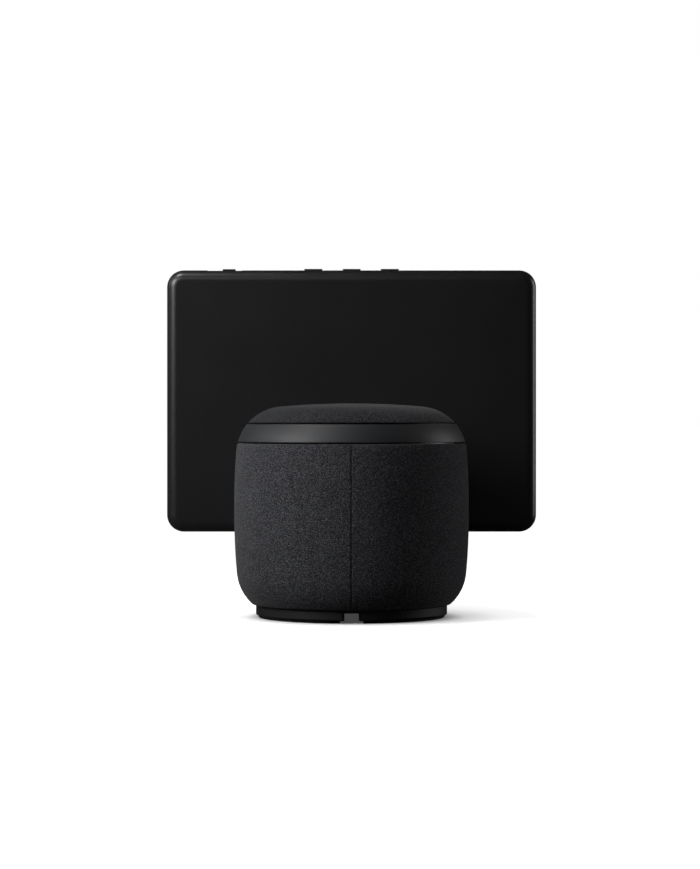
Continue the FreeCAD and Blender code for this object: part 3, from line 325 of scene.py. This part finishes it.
def loftScreen(name, layers, ring):
    # joins rounded rectangles given as (inset, y), either into a ring or with the first and last capped
    s = screenLook
    middle = (coverLow[2] + coverHigh[2]) / 2
    width, height = coverHigh[0] - coverLow[0], coverHigh[2] - coverLow[2]
    bm = bmesh.new()
    rings = []
    for inset, y in layers:
        corner = max(s["corner"] - inset, s["leastCorner"])
        loop = roundedLoop(width - 2 * inset, height - 2 * inset, corner, s["cornerSteps"], s["sideSteps"])
        rings.append([bm.verts.new((x, y, z + middle)) for x, z in loop])
    count = len(rings[0])
    for a, b in zip(rings, rings[1:] + (rings[:1] if ring else [])):
        for k in range(count):
            n = (k + 1) % count
            bm.faces.new((a[k], a[n], b[n], b[k]))
    if not ring:
        bm.faces.new(rings[0])
        bm.faces.new(rings[-1][::-1])
    return newObject(name, bm)


screenLook = {"corner": 0.0115, "leastCorner": 0.0006, "cornerSteps": 12, "sideSteps": 14,
              "backRound": 0.0075, "wall": 0.002, "frontRound": 0.0008, "lip": 0.0012, "ringWidth": 0.006,
              "roundSteps": 14, "innerSteps": 6, "frontSteps": 5, "micR": 0.0007, "micDrop": 0.0094,
              "micWell": 0.0035, "above": 0.01, "slotDeep": 0.004}
buttonLook = {"width": 0.0124, "depth": 0.0036, "play": 0.0003}
shutterLook = {"x": 0.0833, "knob": 0.0087, "travel": 0.009, "depth": 0.0022, "play": 0.0003,
               "inFromSplit": 0.0014, "recess": 0.0004, "before": 0.0045, "after": 0.0015}
lugLook = {"x": 0.0301, "thick": 0.0046, "play": 0.0005, "slot": 0.0061, "deep": 0.0035, "out": 0.002}


def quarter(radius, steps):
    # (inset, depth) pairs round a quarter circle, from the side to the face
    return [(radius * (1 - math.cos(a)), radius * math.sin(a))
            for a in [math.pi / 2 * k / steps for k in range(steps + 1)]]


def makeScreenShell():
    s = screenLook
    split, back = coverLow[1], coverHigh[1]
    corner = back - s["backRound"]
    outer = [(0.0, split)] + [(i, corner + d) for i, d in quarter(s["backRound"], s["roundSteps"])]
    r = s["backRound"] - s["wall"]
    inner = [(s["wall"], split)] + [(s["wall"] + i, corner + d) for i, d in quarter(r, s["innerSteps"])]
    shell = loftScreen("screenShell", inner[::-1] + outer, ring=False)
    top = coverHigh[2]
    floorZ, roofZ = top - s["slotDeep"], top + s["above"]

    play = buttonLook["play"]
    half = buttonLook["width"] / 2 + play
    for node in ("mic_off_button", "volume_down_button", "volume_up_button"):
        low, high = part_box(node)
        x = (low[0] + high[0]) / 2
        carve(shell, boxObject("keySlot", (x - half, high[1] - buttonLook["depth"] - play, floorZ),
                               (x + half, high[1] + play, roofZ)))

    k = shutterLook
    x0 = k["x"] - k["knob"] / 2 - k["play"]
    x1 = x0 + k["knob"] + k["travel"] + 2 * k["play"]
    y = split + k["inFromSplit"]
    half = k["depth"] / 2 + k["play"]
    carve(shell, boxObject("shutterSlot", (x0, y - half, floorZ), (x1, y + half, roofZ)))
    carve(shell, recessCutter())

    micZ = top - s["micDrop"]
    carve(shell, roundCutter("micHole", s["micR"], (0, back - s["micWell"], micZ),
                             (0, back + s["above"], micZ)))

    g = lugLook
    for side in (-1, 1):
        x0, x1 = sorted((side * (g["x"] - g["play"]), side * (g["x"] + g["thick"] + g["play"])))
        carve(shell, boxObject("lugSlot", (x0, back - g["deep"], hingeZ - g["slot"]),
                               (x1, back + g["out"], hingeZ + g["slot"])))
    sharpen(shell)
    return shell


def recessCutter():
    # shallow dip along the top edge for the thumb that slides the shutter
    k = shutterLook
    x0 = k["x"] - k["knob"] / 2
    past = screenLook["above"]
    return boxObject("thumbRecess", (x0 - k["before"], rimLow[1] - past, coverHigh[2] - k["recess"]),
                     (x0 + k["knob"] + k["travel"] + k["after"], coverHigh[1] + past, coverHigh[2] + past))


def roundCutter(name, radius, start, end, sides=32):
    bm = bmesh.new()
    a, b = Vector(start), Vector(end)
    bmesh.ops.create_cone(bm, cap_ends=True, segments=sides, radius1=radius, radius2=radius,
                          depth=(b - a).length)
    turn = (b - a).to_track_quat("Z", "Y").to_matrix()
    for v in bm.verts:
        v.co = turn @ v.co + (a + b) / 2
    return newObject(name, bm, smooth=False)


def makeScreenRim():
    s = screenLook
    front, split = rimLow[1], rimHigh[1]
    rebate = glassHigh[1]
    rounding = quarter(s["frontRound"], s["frontSteps"])
    outer = [(i, front + s["frontRound"] - d) for i, d in rounding][::-1] + [(0.0, split)]
    inner = [(s["ringWidth"], split), (s["ringWidth"], rebate), (s["lip"], rebate), (s["lip"], front)]
    rim = loftScreen("screenRim", outer + inner, ring=True)
    carve(rim, recessCutter())
    sharpen(rim)
    return rim


def rounded(nodeName, name, width, angle=40):
    # a node's own shape with its real edges rounded off
    bm = bmesh.new()
    bm.from_mesh(frame["nodes"][nodeName].data)
    bmesh.ops.remove_doubles(bm, verts=bm.verts, dist=hair)
    bmesh.ops.dissolve_limit(bm, angle_limit=math.radians(1.0), verts=bm.verts, edges=bm.edges)
    piece = newObject(name, bm)
    tool = piece.modifiers.new("edges", "BEVEL")
    tool.width = width
    tool.segments = 3
    tool.limit_method = "ANGLE"
    tool.angle_limit = math.radians(angle)
    bpy.context.view_layer.update()
    plainMesh(piece)
    sharpen(piece)
    return piece


# shader maths written as expressions
class Value:
    def __init__(self, build, socket):
        self.build, self.socket = build, socket

    def math(self, operation, other=None, swapped=False):
        pair = [self, other] if not swapped else [other, self]
        values = {i: v for i, v in enumerate(pair) if v is not None}
        return self.build.node("ShaderNodeMath", {"operation": operation}, values)[0]

    def __add__(self, other):
        return self.math("ADD", other)

    def __radd__(self, other):
        return self.math("ADD", other, True)

    def __sub__(self, other):
        return self.math("SUBTRACT", other)

    def __rsub__(self, other):
        return self.math("SUBTRACT", other, True)

    def __mul__(self, other):
        return self.math("MULTIPLY", other)

    def __rmul__(self, other):
        return self.math("MULTIPLY", other, True)

    def __truediv__(self, other):
        return self.math("DIVIDE", other)


class Finish:
    # one procedural material while it is being built
    def __init__(self, name, **fixed):
        self.material = bpy.data.materials.new(name)
        self.material.use_nodes = True
        self.tree = self.material.node_tree
        self.shader = self.tree.nodes["Principled BSDF"]
        for key, value in fixed.items():
            self.shader.inputs[socketNames[key]].default_value = value

    def node(self, kind, settings=None, values=None):
        made = self.tree.nodes.new(kind)
        for key, value in (settings or {}).items():
            if key == "stops":
                ramp = made.color_ramp
                while len(ramp.elements) < len(value):
                    ramp.elements.new(0.5)
                for element, (place, shade) in zip(ramp.elements, value):
                    element.position = place
                    element.color = (shade, shade, shade, 1) if isinstance(shade, float) else (*shade, 1)
            else:
                setattr(made, key, value)
        for key, value in (values or {}).items():
            self.put(made.inputs[key], value)
        return [Value(self, s) for s in made.outputs]

    def put(self, socket, value):
        if isinstance(value, Value):
            self.tree.links.new(value.socket, socket)
        else:
            socket.default_value = value

    def set(self, name, value):
        self.put(self.shader.inputs[name], value)

    def place(self):
        return self.node("ShaderNodeTexCoord")[3]

    def cloth(self):
        return self.node("ShaderNodeUVMap", {"uv_map": "cloth"})[0]

    def split(self, vector):
        return self.node("ShaderNodeSeparateXYZ", None, {0: vector})

    def noise(self, vector, scale, detail=2.0, roughness=0.5):
        return self.node("ShaderNodeTexNoise", None,
                         {"Vector": vector, "Scale": scale, "Detail": detail, "Roughness": roughness})[0]

    def ramp(self, value, stops):
        return self.node("ShaderNodeValToRGB", {"stops": stops}, {0: value})[0]

    def blend(self, factor, low, high):
        first = (*low, 1) if isinstance(low, tuple) else low
        second = (*high, 1) if isinstance(high, tuple) else high
        return self.node("ShaderNodeMix", {"data_type": "RGBA"}, {0: factor, 6: first, 7: second})[2]

    def range(self, value, low, high, toLow, toHigh):
        return self.node("ShaderNodeMapRange", None, {0: value, 1: low, 2: high, 3: toLow, 4: toHigh})[0]

    def bump(self, height, distance, strength=1.0):
        given = {"Strength": strength, "Distance": distance, "Height": height}
        self.set("Normal", self.node("ShaderNodeBump", None, given)[0])


socketNames = {"base": "Base Color", "rough": "Roughness", "metal": "Metallic", "coat": "Coat Weight",
               "coatRough": "Coat Roughness", "sheen": "Sheen Weight", "sheenRough": "Sheen Roughness",
               "specular": "Specular IOR Level"}

clothLook = {
    "wale": 0.00095, "course": 0.00085, "wander": 300, "rowWander": 0.8, "columnWander": 1.2,
    "dark": (0.007, 0.007, 0.0088), "mid": (0.027, 0.027, 0.0325), "fleck": (0.165, 0.167, 0.182),
    "stretch": (0.85, 1.0, 1.0), "grain": 1550, "loop": 2000, "patch": 45, "loopShare": 0.2,
    "tones": [(0.43, 0.0), (0.52, 0.22), (0.63, 1.0)], "depth": 0.0002, "sheen": 0.10,
    # the seam entries set the shade painted into the back seam
    "seamIn": 0.0002, "seamOut": 0.0007, "seamShade": 0.45, "seamColour": (0.003, 0.003, 0.0035),
}


def clothFinish(name, seam=False, light=1.0):
    # charcoal knit, whose pattern follows the cloth's own lengths; light scales its colours, and below one it
    # paints shade into them
    c = dict(clothLook)
    for key in ("dark", "mid", "fleck", "seamColour"):
        c[key] = tuple(part * light for part in c[key])
    f = Finish(name, rough=0.92, sheen=c["sheen"], sheenRough=0.4, specular=0.2)
    where = f.cloth()
    u, v = f.split(where)[:2]
    wander = f.noise(where, c["wander"], 2.0)
    # loops of yarn: each row is shifted by half a loop and wanders a little
    row = v / c["course"] + wander * c["rowWander"]
    column = u / c["wale"] + row * 0.5 + wander * c["columnWander"]
    across = (column * (2 * math.pi)).math("SINE")
    up = (row * (2 * math.pi)).math("SINE")
    loops = f.range(across * up, -1.0, 1.0, 0.0, 1.0)
    # spun yarn in two shades, so that single loops come out paler or darker
    stretched = f.node("ShaderNodeVectorMath", {"operation": "MULTIPLY"}, {0: where, 1: c["stretch"]})[0]
    grains = f.noise(stretched, c["grain"], 2.0, 0.6)
    loop = f.node("ShaderNodeTexVoronoi", {"feature": "F1"}, {"Vector": stretched, "Scale": c["loop"]})[1]
    patches = f.noise(where, c["patch"], 3.0, 0.6)
    tone = f.ramp(grains * (1 - c["loopShare"]) + f.split(loop)[0] * c["loopShare"], c["tones"])
    mixed = tone * (0.55 + loops * 0.5) * (0.75 + patches * 0.5)
    ground = f.blend(loops, c["dark"], c["mid"])
    if seam:
        # painted shade: the folded edges inside the seam lie in shade, so the base colour is darkened there
        x, y = f.split(f.place())[:2]
        paintedSeamShade = f.range(x.math("ABSOLUTE"), c["seamIn"], c["seamOut"], c["seamShade"], 0.0)
        inside = paintedSeamShade * f.range(y, 0.0, 0.001, 0.0, 1.0)
        mixed = mixed * (1.0 - inside)
        ground = f.blend(inside, ground, c["seamColour"])
    f.set("Base Color", f.blend(mixed, ground, c["fleck"]))
    f.bump(loops * 0.5 + grains * 0.8, c["depth"], 0.7)
    return f.material


def plasticFinish(name, shade, rough, grain=0.00003, spread=0.18, scale=2600, specular=0.5):
    # moulded plastic: a fine even grain, and slow changes in gloss where it has been handled
    f = Finish(name, specular=specular)
    where = f.place()
    slow = f.noise(where, 22, 3.0)
    fine = f.noise(where, scale, 2.0, 0.6)
    darker = tuple(c * 0.82 for c in shade)
    f.set("Base Color", f.blend(slow * 0.6 + fine * 0.4, darker, shade))
    f.set("Roughness", f.range(slow, 0.25, 0.75, rough * (1 - spread), rough * (1 + spread)))
    f.bump(fine, grain, 0.5)
    return f.material


def metalFinish(name, shade, rough, stretch=(1.0, 1.0, 30.0), metal=1.0):
    f = Finish(name, metal=metal)
    where = f.node("ShaderNodeVectorMath", {"operation": "MULTIPLY"}, {0: f.place(), 1: stretch})[0]
    lines = f.noise(where, 900, 2.0, 0.6)
    darker = tuple(c * 0.8 for c in shade)
    f.set("Base Color", f.blend(lines, darker, shade))
    f.set("Roughness", f.range(lines, 0.2, 0.8, rough * 0.8, rough * 1.25))
    f.bump(lines, 0.00001, 0.4)
    return f.material


def boardFinish(name):
    f = Finish(name, rough=0.4)
    where = f.place()
    cells = f.node("ShaderNodeTexVoronoi", {"feature": "DISTANCE_TO_EDGE"},
                   {"Vector": where, "Scale": 260})[0]
    tracks = f.ramp(cells, [(0.02, 1.0), (0.05, 0.0)])
    f.set("Base Color", f.blend(tracks, (0.012, 0.07, 0.035), (0.03, 0.16, 0.08)))
    return f.material


panelLook = {"halfWidth": 0.1085, "halfHeight": 0.0678, "soft": 0.0006, "border": (0.0016, 0.0016, 0.0018),
             "panel": (0.011, 0.012, 0.0145), "smear": 14, "gloss": (0.045, 0.11)}


def glassFrontFinish(name):
    # switched off: a black border printed behind the glass, and the panel a shade paler inside it
    f = Finish(name, coat=0.6, coatRough=0.03, specular=0.5)
    p = panelLook
    x, y, z = f.split(f.place())
    middle = (glassLow[2] + glassHigh[2]) / 2
    inX = f.range(x.math("ABSOLUTE"), p["halfWidth"], p["halfWidth"] + p["soft"], 1.0, 0.0)
    inZ = f.range((z - middle).math("ABSOLUTE"), p["halfHeight"], p["halfHeight"] + p["soft"], 1.0, 0.0)
    smear = f.noise(f.place(), p["smear"], 4.0)
    f.set("Base Color", f.blend(inX * inZ, p["border"], p["panel"]))
    f.set("Roughness", f.range(smear, 0.35, 0.7, *p["gloss"]))
    return f.material


def rubberFinish(name, shade, rough=0.85):
    return plasticFinish(name, shade, rough, grain=0.00006, spread=0.08, scale=1800, specular=0.3)


finishes = {
    "body_fabric": clothFinish("charcoal knit", seam=True),
    # painted shade: the cap is the body's knit with its colours halved, a shaded copy of the same cloth
    "cap_fabric": clothFinish("cap knit", light=0.5),
    "band_plastic": plasticFinish("satin band", (0.026, 0.027, 0.030), 0.52, 0.00002, 0.06),
    "screen_shell": plasticFinish("screen back", (0.0145, 0.0145, 0.016), 0.33, 0.00002, 0.06, 3000),
    "frame_plastic": plasticFinish("screen edge", (0.010, 0.010, 0.0115), 0.42),
    "button_plastic": plasticFinish("keys", (0.014, 0.014, 0.016), 0.34),
    "shutter_plastic": plasticFinish("shutter", (0.014, 0.014, 0.016), 0.34),
    "foot_plastic": plasticFinish("foot", (0.012, 0.012, 0.0135), 0.55, 0.00004, 0.1, specular=0.35),
    "grille_plastic": plasticFinish("inner shell", (0.006, 0.006, 0.0065), 0.6),
    "box_plastic": plasticFinish("speaker box", (0.02, 0.02, 0.022), 0.5),
    "socket_plastic": plasticFinish("socket", (0.003, 0.003, 0.003), 0.9, specular=0.1),
    "gear_plastic": plasticFinish("gear resin", (0.6, 0.6, 0.55), 0.4),
    "washer_plastic": plasticFinish("washers", (0.06, 0.06, 0.06), 0.4),
    "camera_plastic": plasticFinish("camera body", (0.01, 0.01, 0.01), 0.5),
    "light_guide": plasticFinish("light sheets", (0.5, 0.5, 0.52), 0.25),
    "driver_frame": plasticFinish("driver frame", (0.03, 0.03, 0.033), 0.4),
    "driver_cone": plasticFinish("driver cone", (0.025, 0.025, 0.028), 0.6),
    "driver_motor": metalFinish("driver magnet", (0.12, 0.12, 0.13), 0.5),
    "motor_core": metalFinish("motor core", (0.25, 0.22, 0.2), 0.5),
    "arm_alloy": plasticFinish("neck coat", (0.016, 0.016, 0.018), 0.4, 0.00006),
    "cast_alloy": metalFinish("cast alloy", (0.5, 0.5, 0.52), 0.5),
    "chassis_alloy": metalFinish("stamped alloy", (0.55, 0.55, 0.57), 0.4),
    "bearing_steel": metalFinish("ground steel", (0.6, 0.6, 0.62), 0.22),
    "hinge_steel": metalFinish("blackened steel", (0.07, 0.07, 0.075), 0.34, (30.0, 1.0, 1.0)),
    "zinc_screws": metalFinish("zinc plate", (0.45, 0.45, 0.48), 0.32, (1.0, 1.0, 1.0)),
    "contact_metal": metalFinish("contact", (0.75, 0.7, 0.55), 0.2),
    "cage_brass": metalFinish("brass", (0.6, 0.42, 0.17), 0.3),
    "shield_metal": metalFinish("tin plate", (0.6, 0.6, 0.6), 0.3),
    "circuit_board": boardFinish("circuit board"),
    "foot_rubber": rubberFinish("foot rubber", (0.013, 0.013, 0.0135)),
    "driver_rubber": rubberFinish("surround rubber", (0.015, 0.015, 0.015)),
    "cable_jacket": rubberFinish("cable jacket", (0.02, 0.02, 0.02), 0.6),
    "front_glass": glassFrontFinish("front glass"),
    "display_panel": plasticFinish("display panel", (0.008, 0.008, 0.01), 0.2),
    "lens_glass": plasticFinish("lens", (0.01, 0.012, 0.03), 0.05, 0.0, 0.05),
}


def dress(piece, slotName):
    piece.data.materials.clear()
    piece.data.materials.append(finishes[slotName])


slotOf = {s["node"]: s["material_slot"] for s in frame["record"]["subparts"]}
for nodeName, node in frame["nodes"].items():
    for materialSlot in node.material_slots:
        materialSlot.material = finishes[slotOf[nodeName]]
print("finishes given to", len(frame["nodes"]), "nodes")

sleeve = makeSleeve()
dress(sleeve, "body_fabric")
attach(sleeve, "base")
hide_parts("fabric_sleeve")

cap = makeCap()
dress(cap, "cap_fabric")
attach(cap, "turret")
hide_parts("cap_fabric")

band = makeBand()
dress(band, "band_plastic")
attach(band, "turret")
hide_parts("swivel_band")
print("body skins and band made")

screenShell = makeScreenShell()
dress(screenShell, "screen_shell")
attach(screenShell, "screen")
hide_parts("back_cover")

screenRim = makeScreenRim()
dress(screenRim, "frame_plastic")
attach(screenRim, "screen")
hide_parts("front_frame")

neck = rounded("swivel_arm", "neck", neckLook["edge"])
dress(neck, "arm_alloy")
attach(neck, "turret")
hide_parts("swivel_arm")
print("screen shell, rim and neck made")


# short stitches that close the sleeve's upright seam
def group(name, inputs):
    tree = bpy.data.node_groups.new(name, "GeometryNodeTree")
    for label, kind in inputs:
        tree.interface.new_socket(name=label, in_out="INPUT", socket_type=kind)
    tree.interface.new_socket(name="Geometry", in_out="OUTPUT", socket_type="NodeSocketGeometry")
    return tree


def treeNode(tree, kind, settings=None, values=None):
    made = tree.nodes.new(kind)
    for key, value in (settings or {}).items():
        setattr(made, key, value)
    for key, value in (values or {}).items():
        if isinstance(value, bpy.types.NodeSocket):
            tree.links.new(value, made.inputs[key])
        else:
            made.inputs[key].default_value = value
    return made


def stitchTree():
    tree = group("seamStitches", [("Geometry", "NodeSocketGeometry"), ("Pitch", "NodeSocketFloat"),
                                  ("Length", "NodeSocketFloat"), ("Thickness", "NodeSocketFloat"),
                                  ("Yarn", "NodeSocketMaterial")])
    given = tree.nodes.new("NodeGroupInput").outputs
    path = treeNode(tree, "GeometryNodeMeshToCurve", None, {"Mesh": given["Geometry"]})
    spots = treeNode(tree, "GeometryNodeResampleCurve", {"mode": "LENGTH"},
                     {"Curve": path.outputs[0], "Length": given["Pitch"]})
    points = treeNode(tree, "GeometryNodeCurveToPoints", {"mode": "EVALUATED"}, {"Curve": spots.outputs[0]})
    ball = treeNode(tree, "GeometryNodeMeshUVSphere", None, {"Segments": 8, "Rings": 5, "Radius": 1.0})
    size = treeNode(tree, "ShaderNodeCombineXYZ", None, {0: given["Thickness"], 1: given["Thickness"],
                                                         2: given["Length"]})
    stitches = treeNode(tree, "GeometryNodeInstanceOnPoints", None,
                        {"Points": points.outputs[0], "Instance": ball.outputs[0],
                         "Rotation": points.outputs[3], "Scale": size.outputs[0]})
    real = treeNode(tree, "GeometryNodeRealizeInstances", None, {0: stitches.outputs[0]})
    coloured = treeNode(tree, "GeometryNodeSetMaterial", None, {"Geometry": real.outputs[0],
                                                                "Material": given["Yarn"]})
    out = tree.nodes.new("NodeGroupOutput")
    tree.links.new(coloured.outputs[0], out.inputs[0])
    return tree


def makeSeam():
    s = seamLook
    curve = bodyCurve(s["depth"] + s["thick"] * s["sunk"], sleeveLow[2] + s["endGap"],
                      sleeveHigh[2] - s["endGap"], s["pathStep"])
    bm = bmesh.new()
    last = None
    for r, z in curve:
        v = bm.verts.new((0, r, z))
        if last:
            bm.edges.new((last, v))
        last = v
    piece = newObject("backSeam", bm)
    tool = piece.modifiers.new("stitches", "NODES")
    tool.node_group = stitchTree()
    wanted = {"Pitch": s["pitch"], "Length": s["length"] / 2, "Thickness": s["thick"], "Yarn": yarn}
    for item in tool.node_group.interface.items_tree:
        if item.in_out == "INPUT" and item.name in wanted:
            tool[item.identifier] = wanted[item.name]
    bpy.context.view_layer.update()
    plainMesh(piece)
    return piece


yarn = plasticFinish("seam yarn", (0.02, 0.02, 0.023), 0.9, 0.00003)
seam = makeSeam()
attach(seam, "base")
print("seam stitched,", len(seam.data.polygons), "faces")


# a pale floor that runs on out of sight, made to glow white where it is seen, with a painted contact shadow round
# the foot, and dim where it would light the body
floorLook = {"size": 60.0, "shade": 0.8, "bounce": 0.10, "glow": (0.94, 1.0), "reach": (0.25, 1.5),
             "shadow": [(0.058, 0.06), (0.074, 0.60), (0.10, 0.88), (0.15, 0.97), (0.24, 1.0)]}


def makeFloor():
    bm = bmesh.new()
    bmesh.ops.create_grid(bm, x_segments=1, y_segments=1, size=floorLook["size"] / 2)
    floor = newObject("floor", bm, smooth=False)
    f = Finish("pale floor", rough=0.8, specular=0.1)
    seen = f.node("ShaderNodeLightPath")[0]
    distance = f.node("ShaderNodeVectorMath", {"operation": "LENGTH"}, {0: f.place()})[1]
    outer = f.range(distance, *floorLook["reach"], *floorLook["glow"])
    # painted contact shadow: the glow is almost gone under the foot and comes back by a quarter metre out
    paintedShadow = f.ramp(distance, floorLook["shadow"])
    glow = paintedShadow * outer
    f.set("Base Color", f.blend(seen, (floorLook["bounce"],) * 3, (floorLook["shade"],) * 3))
    f.set("Emission Strength", 1.0)
    f.set("Emission Color", f.blend(seen * glow, (0.0, 0.0, 0.0), (1.0, 1.0, 1.0)))
    floor.data.materials.append(f.material)
    return floor


floor = makeFloor()

# azimuth is turned from +Y towards +X, in degrees
lightLook = {
    "key": {"azimuth": 55, "height": 23, "distance": 0.75, "size": (0.42, 0.42), "watts": 0.78,
            "aim": (0.11, -0.04, 0.20), "spread": 62},
    "strip": {"azimuth": 104, "height": 25, "distance": 0.9, "size": (0.3, 0.5), "watts": 0.62,
              "aim": (0.06, 0, 0.14), "spread": 180},
    "top": {"azimuth": 55, "height": 66, "distance": 0.8, "size": (0.3, 0.3), "watts": 0.22,
            "aim": (0.14, -0.09, 0.22), "spread": 40},
    "rim": {"azimuth": 20, "height": 32, "distance": 1.2, "size": (0.6, 0.05), "watts": 1.1,
            "aim": (0.06, -0.09, 0.2), "spread": 180},
    "edge": {"azimuth": -108, "height": 12, "distance": 1.4, "size": (0.2, 0.9), "watts": 3.8,
             "aim": (0, 0, 0.1), "spread": 180},
}


def areaLight(name, azimuth, height, distance, size, watts, aim, spread):
    data = bpy.data.lights.new(name, "AREA")
    data.shape = "RECTANGLE"
    data.size, data.size_y = size
    data.energy = watts
    data.spread = math.radians(spread)
    turn, rise = math.radians(azimuth), math.radians(height)
    way = Vector((math.sin(turn) * math.cos(rise), math.cos(turn) * math.cos(rise), math.sin(rise)))
    lamp = bpy.data.objects.new(name, data)
    bpy.context.collection.objects.link(lamp)
    lamp.location = Vector(aim) + way * distance
    lamp.rotation_euler = (-way).to_track_quat("-Z", "Y").to_euler()
    return lamp


for lightName, look in lightLook.items():
    areaLight(lightName, **look)

# white where it is seen, and a faint even fill where it lights
worldLook = {"seen": 1.0, "fill": 0.03}
world = bpy.data.worlds.new("studio")
bpy.context.scene.world = world
world.use_nodes = True
worldTree = world.node_tree
backdrop = worldTree.nodes["Background"]
backdrop.inputs["Color"].default_value = (1, 1, 1, 1)
path = worldTree.nodes.new("ShaderNodeLightPath")
level = worldTree.nodes.new("ShaderNodeMapRange")
level.inputs["To Min"].default_value = worldLook["fill"]
level.inputs["To Max"].default_value = worldLook["seen"]
worldTree.links.new(path.outputs["Is Camera Ray"], level.inputs["Value"])
worldTree.links.new(level.outputs["Result"], backdrop.inputs["Strength"])

cameraLook = {"distance": 1.716, "height": 0.1277, "lens": 110.0, "shift": (-0.0018, -0.0178)}
cameraData = bpy.data.cameras.new("camera")
cameraData.lens = cameraLook["lens"]
cameraData.sensor_width = 36.0
cameraData.shift_x, cameraData.shift_y = cameraLook["shift"]
camera = bpy.data.objects.new("camera", cameraData)
bpy.context.collection.objects.link(camera)
camera.location = (0, cameraLook["distance"], cameraLook["height"])
camera.rotation_euler = (math.pi / 2, 0, math.pi)
bpy.context.scene.camera = camera
bpy.context.scene.view_settings.view_transform = "Standard"
